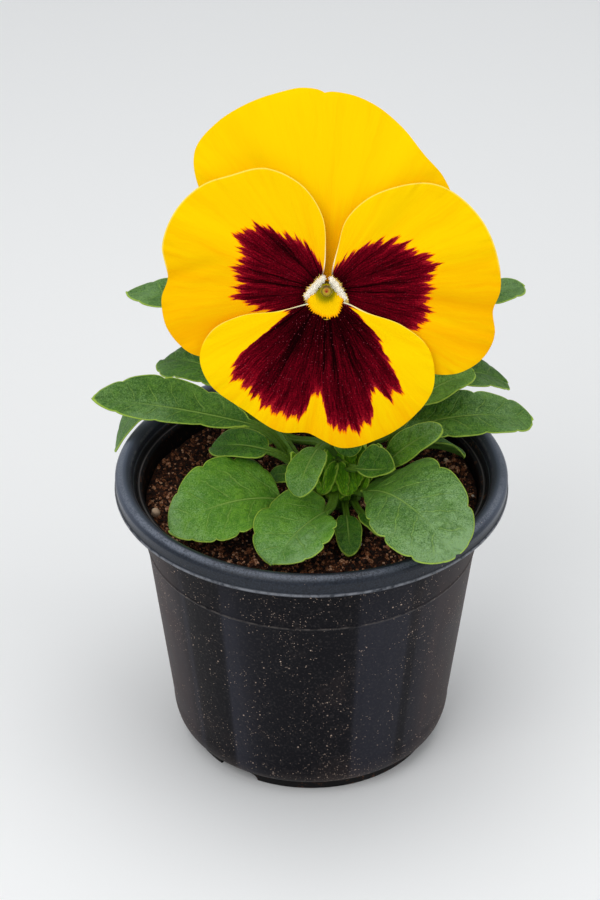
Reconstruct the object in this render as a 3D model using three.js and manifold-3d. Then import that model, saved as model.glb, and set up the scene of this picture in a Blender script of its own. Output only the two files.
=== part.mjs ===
// A pansy in bloom, growing in a black nursery pot of potting mix.
// Millimetres, +Z up. The origin is on the pot's axis, at its flat underside. The bloom faces -Y.
// The pot is one moulding, the mix one plug; every leaf, with its stalk, is a piece of its own, and so is
// every petal. Neighbours stand GAP apart, and leaf stalks end that far from the stems that carry them.
import * as THREE from "three";
import { mergeVertices } from "three/addons/utils/BufferGeometryUtils.js";
import Module from "manifold-3d";

const wasm = await Module();
wasm.setup();

// ---------------------------------------------------------------- driving dimensions

const GAP = 0.35; // clearance between neighbouring pieces

const POT = {
  height: 82.8,
  rimRadius: 52.5, // the outside of the rolled rim: a 10.5 cm pot
  rimWidth: 4.6, // inner edge to outer edge of the rolled rim
  rimDepth: 5.5, // how far the rim's skirt hangs down
  stepRadius: 46.2, // the wall's outside just under the rim
  stepDrop: 4.6, // from the rim's top to the ledge inside it
  wall: 1.2,
  beadDrop: 21.2, // from the rim's top to the fine bead round the wall
  beadProud: 0.25,
  shoulderRadius: 38.4, // the wall's outside where it starts to round in
  shoulderHeight: 12,
  footRadius: 34.6,
  footHeight: 4,
  slots: 3, // arched drainage slots in the foot's edge
  slotAzimuth: -126, // degrees about +Z, the slot that shows at the front left
  slotWidth: 12.5,
  slotHeight: 3,
  slotReach: 5.2, // how far a slot runs in under the floor
  segments: 50,
};

const SOIL = {
  level: 74, // the mix at the wall
  bank: 0.9, // how much higher it lies on the +X side
  mound: 1.2, // how much higher it lies round the crown
  rough: 0.55, // height of the crumbs
  rings: 8,
  segments: 50,
};

// The crown is where the stems leave the mix, a little off the pot's axis.
const CROWN = { x: 8, y: -7, radius: 3.1, rootDepth: 19, rootTip: 1.4 };

const BLADE = { thickness: 0.7, stalkWidth: 2.3, stalkDepth: 1.5 };

const BLOOM = {
  centre: [3.4, -16, 145.2],
  tilt: 22, // degrees that the face looks up
  thickness: 0.7,
  columnRadius: 1.6, // the stamens' cone, which the petals' claws surround
};

const GREEN = { color: 0x3f7a2a, roughness: 0.55, metalness: 0 };
const COLOURS = {
  pot: { color: 0x17191d, roughness: 0.38, metalness: 0 },
  soil: { color: 0x4a2c1c, roughness: 0.95, metalness: 0 },
  leaf: GREEN,
  stem: { color: 0x5c8a26, roughness: 0.5, metalness: 0 },
  petal: { color: 0xffcb05, roughness: 0.6, metalness: 0 },
  blotched: { color: 0xd98a06, roughness: 0.65, metalness: 0 },
  beard: { color: 0xf2ead8, roughness: 0.9, metalness: 0 },
  stigma: { color: 0xa9a51d, roughness: 0.45, metalness: 0 },
};

// ---------------------------------------------------------------- solids

// A geometry's closed surface as a solid.
function solidOf(geometry) {
  const bare = geometry.index ? geometry.toNonIndexed() : geometry.clone();
  bare.deleteAttribute("normal");
  bare.deleteAttribute("uv");
  const merged = mergeVertices(bare, 1e-4);
  const solid = new wasm.Manifold(
    new wasm.Mesh({
      numProp: 3,
      vertProperties: merged.attributes.position.array,
      triVerts: new Uint32Array(merged.index.array),
    }),
  );
  if (solid.volume() < 0) throw new Error("a solid is inside out");
  return solid;
}

// A solid's surface as a geometry.
function geometryOf(solid) {
  const mesh = solid.getMesh();
  const geometry = new THREE.BufferGeometry();
  geometry.setAttribute("position", new THREE.BufferAttribute(mesh.vertProperties, 3));
  geometry.setIndex(new THREE.BufferAttribute(mesh.triVerts, 1));
  geometry.computeVertexNormals();
  return geometry;
}

// A closed slab between two grids of points, rows by columns, split into triangles alike on both faces.
function slab(top, bottom) {
  const rows = top.length;
  const columns = top[0].length;
  const points = [...top.flat(), ...bottom.flat()];
  const under = rows * columns;
  const at = (row, column) => row * columns + column;
  const faces = [];
  for (let row = 0; row < rows - 1; row++) {
    for (let column = 0; column < columns - 1; column++) {
      const [a, b] = [at(row, column), at(row, column + 1)];
      const [c, d] = [at(row + 1, column), at(row + 1, column + 1)];
      faces.push(a, b, d, a, d, c);
      faces.push(under + a, under + d, under + b, under + a, under + c, under + d);
    }
  }
  const border = [];
  for (let column = 0; column < columns - 1; column++) border.push(at(0, column));
  for (let row = 0; row < rows - 1; row++) border.push(at(row, columns - 1));
  for (let column = columns - 1; column > 0; column--) border.push(at(rows - 1, column));
  for (let row = rows - 1; row > 0; row--) border.push(at(row, 0));
  wallRound(faces, border, under);
  return fromFaces(points, faces);
}

// Adds the wall that joins a border on the top face to the same border on the bottom face.
function wallRound(faces, border, under) {
  border.forEach((a, i) => {
    const b = border[(i + 1) % border.length];
    faces.push(a, under + a, b, b, under + a, under + b);
  });
}

// Points and faces as a geometry that faces outwards.
function fromFaces(points, faces) {
  const geometry = new THREE.BufferGeometry().setFromPoints(points);
  let volume = 0;
  for (let i = 0; i < faces.length; i += 3) {
    const [a, b, c] = [0, 1, 2].map((k) => points[faces[i + k]]);
    volume += a.dot(b.clone().cross(c));
  }
  if (volume < 0) faces.reverse();
  geometry.setIndex(faces);
  return geometry;
}

// A round rod of a number of sides along a curve.
function rod(curve, radius, steps, sides) {
  const corners = Array.from({ length: sides }, (_, i) => {
    const angle = (2 * Math.PI * i) / sides;
    return new THREE.Vector2(radius * Math.cos(angle), radius * Math.sin(angle));
  });
  return solidOf(new THREE.ExtrudeGeometry(new THREE.Shape(corners), { steps, extrudePath: curve }));
}

const vector = ([x, y, z]) => new THREE.Vector3(x, y, z);
const radians = THREE.MathUtils.degToRad;
const mix = THREE.MathUtils.lerp;

// ---------------------------------------------------------------- pot and mix

// The wall's outer radius at a height, from the shoulder up to the step under the rim.
function wallRadius(height) {
  const top = POT.height - POT.rimDepth;
  const share = (height - POT.shoulderHeight) / (top - POT.shoulderHeight);
  return mix(POT.shoulderRadius, POT.stepRadius, share);
}

// The quarter round from the wall down to the foot, taken in by inset on the inside.
function shoulder(inset, steps) {
  const low = POT.footHeight + inset;
  const inner = POT.footRadius + 0.9 - inset;
  return Array.from({ length: steps + 1 }, (_, i) => {
    const angle = (Math.PI / 2) * (i / steps);
    return [
      inner + (POT.shoulderRadius - inset - inner) * Math.sin(angle),
      mix(low, POT.shoulderHeight, 1 - Math.cos(angle)),
    ];
  });
}

// The outside of the pot from the underside's centre to the rim, then the inside back to the floor's centre.
function potProfile() {
  const { height, rimRadius, rimWidth, rimDepth, wall } = POT;
  const bead = height - POT.beadDrop;
  const skirt = height - rimDepth;
  const ledge = height - POT.stepDrop;
  const crest = rimWidth / 2;
  const outside = [
    [0, 0],
    [POT.footRadius - 0.8, 0],
    [POT.footRadius, POT.footHeight],
    ...shoulder(0, 4),
    [wallRadius(bead - 0.5), bead - 0.5],
    [wallRadius(bead) + POT.beadProud, bead],
    [wallRadius(bead + 0.5), bead + 0.5],
    [POT.stepRadius, skirt - 0.2],
    [POT.stepRadius + 0.5, height - 3.4], // up inside the skirt
    [rimRadius - wall - 0.2, height - 2.6],
    [rimRadius - wall, skirt],
    [rimRadius - 0.1, skirt - 0.1],
  ];
  const rim = Array.from({ length: 5 }, (_, i) => {
    const angle = (Math.PI * i) / 4;
    return [
      rimRadius - crest + crest * Math.cos(angle),
      height - crest + crest * Math.sin(angle),
    ];
  });
  const inside = [
    [rimRadius - rimWidth - 0.3, ledge + 0.5],
    [POT.stepRadius - wall + 0.2, ledge],
    [wallRadius(skirt - 2) - wall, skirt - 2],
    [wallRadius(POT.shoulderHeight) - wall, POT.shoulderHeight],
    [POT.footRadius - wall, POT.footHeight],
    [POT.footRadius - wall - 1, wall + 0.2],
    [0, wall + 0.2],
  ];
  return [...outside, ...rim, ...inside].map(([radius, z]) => new THREE.Vector2(radius, z));
}

// A turned solid about +Z from a profile of radius and height.
function turned(profile, segments) {
  return new THREE.LatheGeometry(profile, segments).rotateX(Math.PI / 2);
}

// One arched slot at the foot's edge, as the solid that is cut away.
function drainSlot(azimuth) {
  const half = POT.slotWidth / 2;
  const arch = new THREE.Shape();
  arch.moveTo(-half, -1);
  arch.lineTo(-half, POT.slotHeight * 0.3);
  arch.absellipse(0, POT.slotHeight * 0.3, half, POT.slotHeight * 0.7, Math.PI, 0, true);
  arch.lineTo(half, -1);
  const cutter = new THREE.ExtrudeGeometry(arch, {
    depth: POT.slotReach + 3,
    bevelEnabled: false,
    curveSegments: 5,
  });
  cutter.rotateX(Math.PI / 2).rotateZ(Math.PI / 2);
  cutter.translate(POT.footRadius - POT.slotReach, 0, 0);
  return solidOf(cutter.rotateZ(radians(azimuth)));
}

function pot() {
  let solid = solidOf(turned(potProfile(), POT.segments));
  for (let i = 0; i < POT.slots; i++) {
    solid = solid.subtract(drainSlot(POT.slotAzimuth + (360 / POT.slots) * i));
  }
  return geometryOf(solid);
}

// The mix's surface: mounded towards the crown, and crumbly.
function soilHeight(x, y) {
  const fromCrown = Math.hypot(x - CROWN.x, y - CROWN.y);
  const crumbs =
    Math.sin(0.61 * x + 0.3 * y) * Math.cos(0.53 * y - 0.2 * x) +
    0.6 * Math.sin(1.27 * x - 0.9 * y + 1.3) +
    0.5 * Math.cos(0.94 * x + 1.41 * y);
  const lie = SOIL.level + (SOIL.bank * x) / POT.stepRadius;
  return lie + SOIL.mound * Math.exp(-((fromCrown / 20) ** 2)) + (SOIL.rough / 2) * crumbs;
}

function soil() {
  const inset = POT.wall + GAP;
  const edge = wallRadius(SOIL.level) - inset;
  const profile = [
    [0, POT.wall + 0.2 + GAP],
    [POT.footRadius - inset - 1.2, POT.wall + 0.2 + GAP],
    [POT.footRadius - inset - 0.2, POT.footHeight],
    [wallRadius(POT.shoulderHeight) - inset - 0.3, POT.shoulderHeight + 0.3],
    [edge, SOIL.level - 1.5],
  ].map(([radius, z]) => new THREE.Vector2(radius, z));
  for (let ring = SOIL.rings; ring >= 0; ring--) {
    profile.push(new THREE.Vector2((edge * ring) / SOIL.rings, SOIL.level));
  }
  const body = turned(profile, SOIL.segments);
  const position = body.getAttribute("position");
  for (let i = 0; i < position.count; i++) {
    if (position.getZ(i) < SOIL.level - 0.01) continue;
    position.setZ(i, soilHeight(position.getX(i), position.getY(i)));
  }
  return geometryOf(solidOf(body).subtract(rootStub(GAP)));
}

// ---------------------------------------------------------------- stems

// The thick root that stands in a plain hole in the mix, grown by clear all round.
function rootStub(clear) {
  const { x, y, radius, rootDepth, rootTip } = CROWN;
  const top = SOIL.level + 5;
  const bottom = SOIL.level - rootDepth - clear;
  const stub = new THREE.CylinderGeometry(radius + clear, rootTip + clear, top - bottom, 12);
  return solidOf(stub.rotateX(Math.PI / 2).translate(x, y, (top + bottom) / 2));
}

// The leafy stems that branch from the crown: start, two handles, end, and the radius.
const STEMS = {
  main: [[8, -7, 76], [8, -7, 84], [6.5, -5, 90], [6, -4, 98], 2],
  left: [[7.5, -7, 77], [3, -8, 80], [-5, -5, 84], [-10.5, 1, 95], 1.8],
  right: [[8.5, -7, 77], [13, -8, 80], [20, -5, 84], [25.5, 2, 95], 1.8],
  rear: [[8, -6.5, 78], [8, -3, 86], [8, 6, 88], [8, 11, 99], 1.8],
};

function stems(clear) {
  let solid = rootStub(clear);
  for (const [start, first, second, end, radius] of Object.values(STEMS)) {
    const path = new THREE.CubicBezierCurve3(vector(start), vector(first), vector(second), vector(end));
    solid = solid.add(rod(path, radius + clear, 7, 8));
  }
  return solid;
}

const STALK = {
  path: [[6, -4, 95], [8, 10, 118], [3.4, 9, 143], [3.4, -6.1, 141.9]],
  radius: 1.35,
};

// The flower's stalk, which rises from the main stem and hooks over behind the bloom.
function flowerStalk() {
  return rod(new THREE.CubicBezierCurve3(...STALK.path.map(vector)), STALK.radius, 14, 8);
}

// ---------------------------------------------------------------- leaves

// Blade outlines, by shape: bulge above 0 is widest near the stalk, point sharpens both ends, lobe is how far
// the base runs back past the stalk, notches counts the scallops along a side and cut is how deep they are.
const SHAPES = {
  round: { bulge: 0.04, point: 0.66, lobe: 0.2, notches: 5, cut: 0.09 },
  oval: { bulge: 0.05, point: 0.9, lobe: 0.03, notches: 3, cut: 0.04 },
  long: { bulge: -0.12, point: 1.2, lobe: 0, notches: 5, cut: 0.1 },
};

// Outlines of the leaves that the eye meets first, in place of their shape's own. Halves are the shares of the
// width on the left and right of the midrib, seen from the stalk, and lobes how far each side runs back.
const FRONT_LEFT = { bulge: 0.28, point: 0.9, halves: [0.93, 1.18], lobes: [-0.31, 0.04] };
const FRONT = { bulge: -0.03, point: 0.96, halves: [1.16, 1.02], lobes: [-0.2, 0.5] };
const FRONT_RIGHT = { bulge: -0.17, point: 0.99, halves: [1, 0.89], lobes: [0.3, -0.28] };
const LEFT_LONG = { bulge: -0.1, point: 1.3, halves: [0.83, 1.11] };
const CURLED = { halves: [1.2, 0.55] };

// Leaves by name: shape, where the stalk leaves its stem, where the blade starts, the blade's tip, its width,
// how far its middle arches up, its roll about its own length in degrees, how far its sides fold up, and an
// outline of its own where it has one.
const LEAVES = {
  leaf_left_long: [
    "long", [-5, -3.6, 86.8], [-16.1, -4.9, 99], [-57.9, 1.1, 102.9], 14.8, 1.6, 22, 0.27, LEFT_LONG,
  ],
  leaf_left_behind: ["long", [-10.2, 0.6, 94], [-18, 8, 103.5], [-40.5, 26, 100], 18, 2.5, 10, 0.12],
  leaf_left_high: ["long", [6.6, 10.5, 97.5], [-18, 20, 117], [-50, 34, 116.5], 13, 2, 8, 0.12],
  leaf_left_over_rim: ["oval", [-1, -5.5, 82.5], [-26, 19, 90.5], [-53.4, 18.5, 75.6], 12, 9.5, 8, 0.05],
  leaf_left_small: ["oval", [-2, -6.2, 83.6], [-11.6, -8.1, 92.9], [-26.4, -2.3, 89.8], 11, 1.5, 15, 0.2],
  leaf_front_left: [
    "round", [3, -9.5, 79], [-8.5, -16.9, 83.5], [-36.9, -26.7, 80.3], 23, 5.1, 23, 0.09, FRONT_LEFT,
  ],
  leaf_front: ["round", [6.2, -9.4, 80.4], [3.5, -23.2, 83.6], [-10.1, -41.2, 79.6], 22.2, 1.9, -4, 0.32, FRONT],
  leaf_centre_hanging: ["oval", [6.5, -7, 91], [1.7, -14.5, 97.5], [-3.4, -25, 89.5], 10.5, 1.5, -10, 0.1],
  leaf_centre_curled: [
    "oval", [9.6, -8.2, 86.5], [11.8, -15.5, 92], [21.7, -17, 93.5], 10, -1, -28, 0.45, CURLED,
  ],
  leaf_centre_facing: ["oval", [7.8, -6.5, 94], [9.8, -8, 101.8], [9.4, -12, 93.6], 8, 1, 0, 0.15],
  leaf_right_upright: ["oval", [15.5, -6.5, 81.6], [19.5, -11, 90.6], [34, -10, 101.2], 9.5, 1.5, -20, 0.15],
  leaf_front_right: [
    "round", [11.2, -8.4, 79.5], [13.8, -17.3, 86], [36.7, -47, 86.5], 29, 7.4, -15, 0.08, FRONT_RIGHT,
  ],
  leaf_front_small: ["oval", [8.4, -10, 77.4], [9.2, -19, 79.5], [10, -33, 76.6], 7.2, 1, 0, 0.12],
  leaf_front_tucked: ["oval", [10.6, -9, 77.4], [13.5, -17, 79], [19, -25, 77.5], 6.5, 1, 0, 0.1],
  leaf_left_tucked: ["oval", [4.4, -7.4, 80], [-3, -6, 83.5], [-11.5, -5, 82.5], 6, 1, 20, 0.1],
  leaf_right_low: ["oval", [20.1, -4.2, 85.4], [28, 1, 89], [40.8, -0.3, 86], 9, 1, 25, 0.35],
  leaf_right_long: ["long", [19, -5, 84], [24, -4, 96.5], [58.5, 3, 95], 16.5, 4, -14, 0.14],
  leaf_right_light: ["oval", [24.6, 0.9, 93], [27.3, 0.6, 102.6], [42.8, 6.5, 108], 10.5, 1.5, -12, 0.15],
  leaf_right_behind: ["long", [25.6, 2.6, 95], [31, 14, 102], [53.2, 25, 93], 15, 3, -10, 0.12],
  leaf_right_high: ["long", [9.4, 10.5, 97.5], [30, 20, 117], [57.5, 34, 118.5], 13, 2, -8, 0.12],
  leaf_rear: ["long", [8, 9, 94], [10, 19, 99.5], [13, 46, 96], 18, 4, 0, 0.12],
  leaf_rear_left: ["long", [7, 6.2, 90], [-5, 18, 96], [-24, 41, 91], 17, 3, 6, 0.12],
  leaf_rear_right: ["long", [9.3, 6, 89.6], [22, 17, 96], [41, 38, 90], 17, 3, -6, 0.12],
  leaf_rear_low_left: ["round", [6.8, 0, 85.6], [-9, 13.5, 85], [-30, 31, 84], 17, 3, 8, 0.08],
  leaf_rear_low_right: ["round", [9.2, 0.5, 86], [21, 11, 86], [37, 27, 84.5], 18, 2, -8, 0.08],
  leaf_rear_low: ["round", [8, 1, 85.6], [8, 14, 85], [5, 37, 82.5], 19, 3, 0, 0.08],
};

const FINE = 12; // a blade wider than this gets the finer grid
const STALK_STEPS = 5;

// The outline of one side at share q of the way from the stalk to the tip: half width, and distance along.
function bladeOutline(outline, side, halfWidth, halfStalk, length, q) {
  const { bulge, point, notches, cut } = outline;
  const lobe = outline.lobes ? outline.lobes[side] : outline.lobe;
  const half = outline.halves ? outline.halves[side] : 1;
  const angle = Math.PI * q;
  const swell = Math.sin(angle) ** point * (1 + bulge * Math.cos(angle));
  const scallop = 1 - cut * (1 - Math.abs(Math.sin(Math.PI * (notches + 0.5) * q))) ** 2;
  const back = lobe * length * Math.sin(angle) * (1 - q) ** 2;
  const along = (length * (1 - Math.cos(angle))) / 2 - back * 1.6;
  const across = Math.max(halfWidth * half * swell * scallop, mix(halfStalk, 0.25, q));
  return [across, along];
}

// The curves of a leaf: its stalk from the stem to the blade, and its midrib from there to the tip.
function leafCurves([stem, base, tip], arch, roll) {
  const chord = tip.clone().sub(base);
  const length = chord.length();
  const along = chord.clone().normalize();
  const up = new THREE.Vector3(0, 0, 1);
  const normal = up.addScaledVector(along, -along.z).normalize().applyAxisAngle(along, -radians(roll));
  const crest = base.clone().add(tip).multiplyScalar(0.5).addScaledVector(normal, 2 * arch);
  const midrib = new THREE.QuadraticBezierCurve3(base, crest, tip);
  const reach = base.distanceTo(stem) * 0.4;
  const outward = base.clone().sub(stem).setZ(0).normalize().multiplyScalar(0.6);
  const rise = stem.clone().addScaledVector(outward.setZ(0.8), reach);
  const arrive = base.clone().addScaledVector(midrib.getTangent(0), -reach);
  const stalk = new THREE.CubicBezierCurve3(stem, rise, arrive, base);
  return { stalk, midrib, normal, length };
}

// A point beside a curve, across along its side and up along its lift.
function beside(curve, share, lift, across, up) {
  const side = curve.getTangent(share).cross(lift);
  return curve.getPoint(share).addScaledVector(side, across).addScaledVector(lift, up);
}

// A direction made square to a curve's tangent.
function squared(lift, curve, share) {
  const tangent = curve.getTangent(share);
  return lift.clone().addScaledVector(tangent, -lift.dot(tangent)).normalize();
}

// One leaf, stalk and blade in one, as a slab of rows across it from the stem to the tip.
function leaf([shape, stemAt, baseAt, tipAt, width, arch, roll, fold, own]) {
  const ends = [stemAt, baseAt, tipAt].map(vector);
  const { stalk, midrib, normal, length } = leafCurves(ends, arch, roll);
  const places = width > FINE ? [-1, -0.5, 0, 0.5, 1] : [-1, 0, 1];
  const { stalkDepth, thickness } = BLADE;
  const stalkWidth = Math.min(BLADE.stalkWidth, 0.9 + 0.1 * width);
  const top = [];
  const bottom = [];

  let lift = normal;
  for (let step = STALK_STEPS; step >= 0; step--) {
    const share = step / STALK_STEPS;
    lift = squared(lift, stalk, share);
    const row = (height) => places.map((t) => beside(stalk, share, lift, (t * stalkWidth) / 2, height(t)));
    top.unshift(row((t) => thickness / 2 + 0.3 * t * t));
    bottom.unshift(row((t) => -thickness / 2 - (stalkDepth - thickness) * (1 - t * t)));
  }

  const outline = { ...SHAPES[shape], ...own };
  const steps = 2 * outline.notches + 1;
  for (let step = 1; step <= steps; step++) {
    const q = Math.min(step / steps, 0.985);
    const sides = [0, 1].map((side) => bladeOutline(outline, side, width / 2, stalkWidth / 2, length, q));
    const row = (face) =>
      places.map((t) => {
        const [across, along] = sides[t < 0 ? 0 : 1];
        const share = mix(q ** 1.15, along / length, Math.abs(t));
        const within = THREE.MathUtils.clamp(share, 0, 1);
        const wave = 0.03 * width * Math.sin(9 * share + 2 * t) * t * t;
        const keel = t === 0 && face < 0 ? (stalkDepth - thickness) * (1 - q) ** 1.5 : 0;
        const up = fold * Math.abs(t * across) + wave + (face * thickness) / 2 - keel;
        const point = beside(midrib, within, squared(normal, midrib, within), t * across, up);
        return point.addScaledVector(midrib.getTangent(0), length * (share - within));
      });
    top.push(row(1));
    bottom.push(row(-1));
  }
  return solidOf(slab(top, bottom));
}

// ---------------------------------------------------------------- bloom
// In the bloom's own frame x runs to its right, y to its top and z out of its face, from the stigma.

// Each petal: its outline, the point its veins spread from, and how far its face lies in front.
const PETALS = {
  petal_upper_right: {
    layer: -4.0,
    hub: [3, 7],
    outline: [
      [0.2, 2.05], [-5, 14], [-8, 27.5], [-7, 40], [-1, 48.2], [5, 48.3], [12, 45.6], [19, 40],
      [24.4, 33.4], [29.4, 27.6], [31.4, 21.6], [26, 13], [13, 6], [3, 2.2],
    ],
  },
  petal_upper_left: {
    layer: -2.3,
    hub: [-2, 7],
    outline: [
      [0.2, 2.05], [3, 12], [5.5, 25.6], [5, 37.4], [0, 48.2], [-5.5, 49.7], [-12, 48.5], [-19.4, 45.9],
      [-27, 41.2], [-32.4, 34.8], [-32.6, 28.2], [-28, 18.6], [-15, 8], [-2.6, 2.2],
    ],
  },
  petal_side_left: {
    layer: 0,
    hub: [-6, 3],
    outline: [
      [-1.7, 1.5], [-0.5, 4.6], [0, 10], [-0.8, 18.4], [-6, 26.2], [-14.9, 30.3], [-24, 28.4], [-31, 25.8],
      [-37.4, 19.6], [-40.7, 11], [-39.4, 2.8], [-41, -2.6], [-39.3, -10.4], [-33, -16.4], [-24, -16],
      [-14, -9], [-3.6, -3.4], [-2.8, -0.6],
    ],
  },
  petal_side_right: {
    layer: 0.1,
    hub: [6, 3],
    outline: [
      [1.7, 1.5], [1.5, 4.6], [3, 11], [5, 17.6], [10.5, 23], [19, 26.2], [27, 26.4], [33.5, 23],
      [39.5, 16.4], [43, 7.6], [43.6, 0], [41.9, -5.4], [42.4, -11.6], [39.6, -17.2], [32, -21.2],
      [23, -19.6], [14, -10], [3.6, -3.4], [2.8, -0.6],
    ],
  },
  petal_lip: {
    layer: 2.0,
    hub: [0.5, -8],
    outline: [
      [-1.8, -2.1], [-5, -3], [-12, -4.9], [-21, -6.1], [-28.4, -10], [-31.4, -16.6], [-28.8, -23.6],
      [-20.6, -30], [-11.4, -35.6], [-4.4, -36], [4.5, -39.8], [13, -37.8], [21.6, -32.2], [27, -24.4],
      [25.8, -14.4], [19, -8.4], [10.4, -5.2], [5.4, -2.8], [2.2, -2.1],
    ],
  },
};

// How far a petal's middle surface stands in front of the bloom's plane, with its layer left out.
function petalRelief(x, y, ruffle) {
  const radius = Math.hypot(x, y);
  const angle = Math.atan2(y, x);
  const spread = THREE.MathUtils.smoothstep(radius, 6, 34);
  const sweep = -0.0016 * radius * radius;
  const ruffles = ruffle * spread * (Math.sin(7 * angle + 0.6) + 0.5 * Math.sin(13 * angle + 2.1));
  return sweep + ruffles;
}

// A petal as a closed disc of rings about its hub, both faces split alike.
function petal(name) {
  const { layer, hub, outline } = PETALS[name];
  const points = outline.map(([x, y]) => new THREE.Vector3(x, y, 0));
  const edge = new THREE.CatmullRomCurve3(points, true, "centripetal").getSpacedPoints(38).slice(0, -1);
  const rings = [0.3, 0.6, 0.83, 1];
  const half = BLOOM.thickness / 2;
  const centre = new THREE.Vector3(...hub, 0);
  const flat = [centre];
  for (const ring of rings) flat.push(...edge.map((point) => centre.clone().lerp(point, ring)));
  const raised = (offset) =>
    flat.map(({ x, y }) => new THREE.Vector3(x, y, layer + petalRelief(x, y, 0.45) + offset));
  const faces = [];
  const under = flat.length;
  const count = edge.length;
  const both = (a, b, c) => faces.push(a, b, c, under + a, under + c, under + b);
  edge.forEach((_, i) => {
    const next = (i + 1) % count;
    both(0, 1 + i, 1 + next);
    for (let ring = 0; ring < rings.length - 1; ring++) {
      const inner = 1 + ring * count;
      const outer = inner + count;
      both(inner + i, outer + i, outer + next);
      both(inner + i, outer + next, inner + next);
    }
  });
  const rim = edge.map((_, i) => 1 + (rings.length - 1) * count + i);
  wallRound(faces, rim, under);
  return solidOf(fromFaces([...raised(half), ...raised(-half)], faces));
}

// The blunt nectar spur that runs back from the lip, under the calyx.
function spur() {
  const { path, radius } = SPUR;
  const end = new THREE.SphereGeometry(radius, 8, 6).translate(...path[2]);
  return rod(new THREE.QuadraticBezierCurve3(...path.map(vector)), radius, 6, 8).add(solidOf(end));
}

const SPUR = { path: [[0.2, -5.6, 2], [0.2, -6.6, -6], [0.2, -5.2, -12.5]], radius: 1.4 };
const SEPALS = { count: 5, length: 15, width: 3.6, ear: 2, start: 2.2, depth: -6.2 };

// One sepal: a narrow leaf that lies behind the petals, with a short ear that runs back past its root.
function sepal(azimuth) {
  const { length, width, ear, start, depth } = SEPALS;
  const steps = 5;
  const grid = [1, -1].map((face) =>
    Array.from({ length: steps + 1 }, (_, i) => {
      const share = i / steps;
      const along = mix(-ear, length, share);
      const half = (width / 2) * Math.sin(Math.PI * mix(0.16, 0.97, share)) ** 0.8;
      const z = depth + (along < 0 ? 0.9 * along : -0.012 * along * along);
      return [-1, 0, 1].map(
        (t) => new THREE.Vector3(start + along, t * half, z - 0.5 * t * t + (face * BLOOM.thickness) / 2),
      );
    }),
  );
  return solidOf(slab(grid[0], grid[1]).rotateZ(radians(azimuth)));
}

function calyx() {
  const profile = [[0, -9.6], [1.7, -9.3], [2.6, -8], [2.8, -6.4], [2.6, -4.75], [0, -4.75]];
  let solid = solidOf(turnedInPlace(profile, 10));
  for (let i = 0; i < SEPALS.count; i++) solid = solid.add(sepal(90 + (360 / SEPALS.count) * i));
  return solid;
}

// A turned solid about z in the bloom's frame.
function turnedInPlace(profile, segments) {
  return turned(profile.map(([radius, z]) => new THREE.Vector2(radius, z)), segments);
}

// The stamens, which close round the ovary in a cone with a toothed orange tip.
function stamens() {
  const { columnRadius } = BLOOM;
  const profile = [[0, -4.4], [columnRadius, -4.4], [columnRadius, 0.6], [columnRadius - 0.7, 1.8], [0, 1.8]];
  return solidOf(turnedInPlace(profile, 10));
}

// The style's round head, which looks out of the throat.
function stigma() {
  const neck = turnedInPlace([[0, 2.15], [0.8, 2.15], [0.8, 3], [0, 3]], 8);
  const head = new THREE.SphereGeometry(1.5, 10, 7).translate(0, 0, 3.6);
  return solidOf(neck).add(solidOf(head)).translate([0.2, 0.4, 0]);
}

const BEARD = { width: 1.6, depth: 1.5, lift: 1.6 };
const BEARDS = {
  beard_left: { length: 8, lean: -42, at: [-2.6, 1.1] },
  beard_right: { length: 7.4, lean: 35, at: [3, 0.7] },
};

// A beard of short hairs on a side petal, which leans in over the throat.
function beard({ length, lean, at }) {
  const tuft = new THREE.SphereGeometry(0.5, 10, 7).scale(BEARD.width, length, BEARD.depth);
  return solidOf(tuft.rotateZ(radians(lean)).translate(at[0], at[1], BEARD.lift));
}

// ---------------------------------------------------------------- assembly

const plant = new THREE.Group();

function add(parent, name, geometry, colour) {
  const mesh = new THREE.Mesh(geometry, new THREE.MeshStandardMaterial(COLOURS[colour]));
  mesh.name = name;
  parent.add(mesh);
}

add(plant, "pot", pot(), "pot");
add(plant, "soil", soil(), "soil");

const stemSolid = stems(0);
const stemRoom = stems(GAP);
add(plant, "stems", geometryOf(stemSolid), "stem");
add(plant, "flower_stalk", geometryOf(flowerStalk().subtract(stemRoom)), "stem");

// The largest piece of a solid: a cut can leave a loose scrap beyond the stem.
function largest(solid) {
  return solid.decompose().reduce((a, b) => (a.volume() > b.volume() ? a : b));
}

for (const name of Object.keys(LEAVES)) {
  add(plant, name, geometryOf(largest(leaf(LEAVES[name]).subtract(stemRoom))), "leaf");
}

const bloom = new THREE.Group();
bloom.position.set(...BLOOM.centre);
bloom.rotation.x = radians(90 - BLOOM.tilt);
for (const name of Object.keys(PETALS)) {
  const solid = name === "petal_lip" ? petal(name).add(spur()) : petal(name);
  add(bloom, name, geometryOf(solid), name.startsWith("petal_upper") ? "petal" : "blotched");
}
add(bloom, "calyx", geometryOf(calyx()), "stem");
add(bloom, "stamens", geometryOf(stamens()), "stigma");
add(bloom, "stigma", geometryOf(stigma()), "stigma");
for (const name of Object.keys(BEARDS)) {
  add(bloom, name, geometryOf(beard(BEARDS[name])), "beard");
}
plant.add(bloom);

export default plant;
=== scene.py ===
"""A pansy in bloom in a black nursery pot, dressed for close views.

Sizes are in millimetres in the frame of the solids: +Z up, the origin under the pot on its axis, the bloom
facing -Y. Meshes are made in millimetres and stored in metres.
"""

import logging
import math
from dataclasses import dataclass, field, replace
from enum import Enum
from functools import reduce
from typing import Any, Callable, Iterable, Sequence

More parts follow.
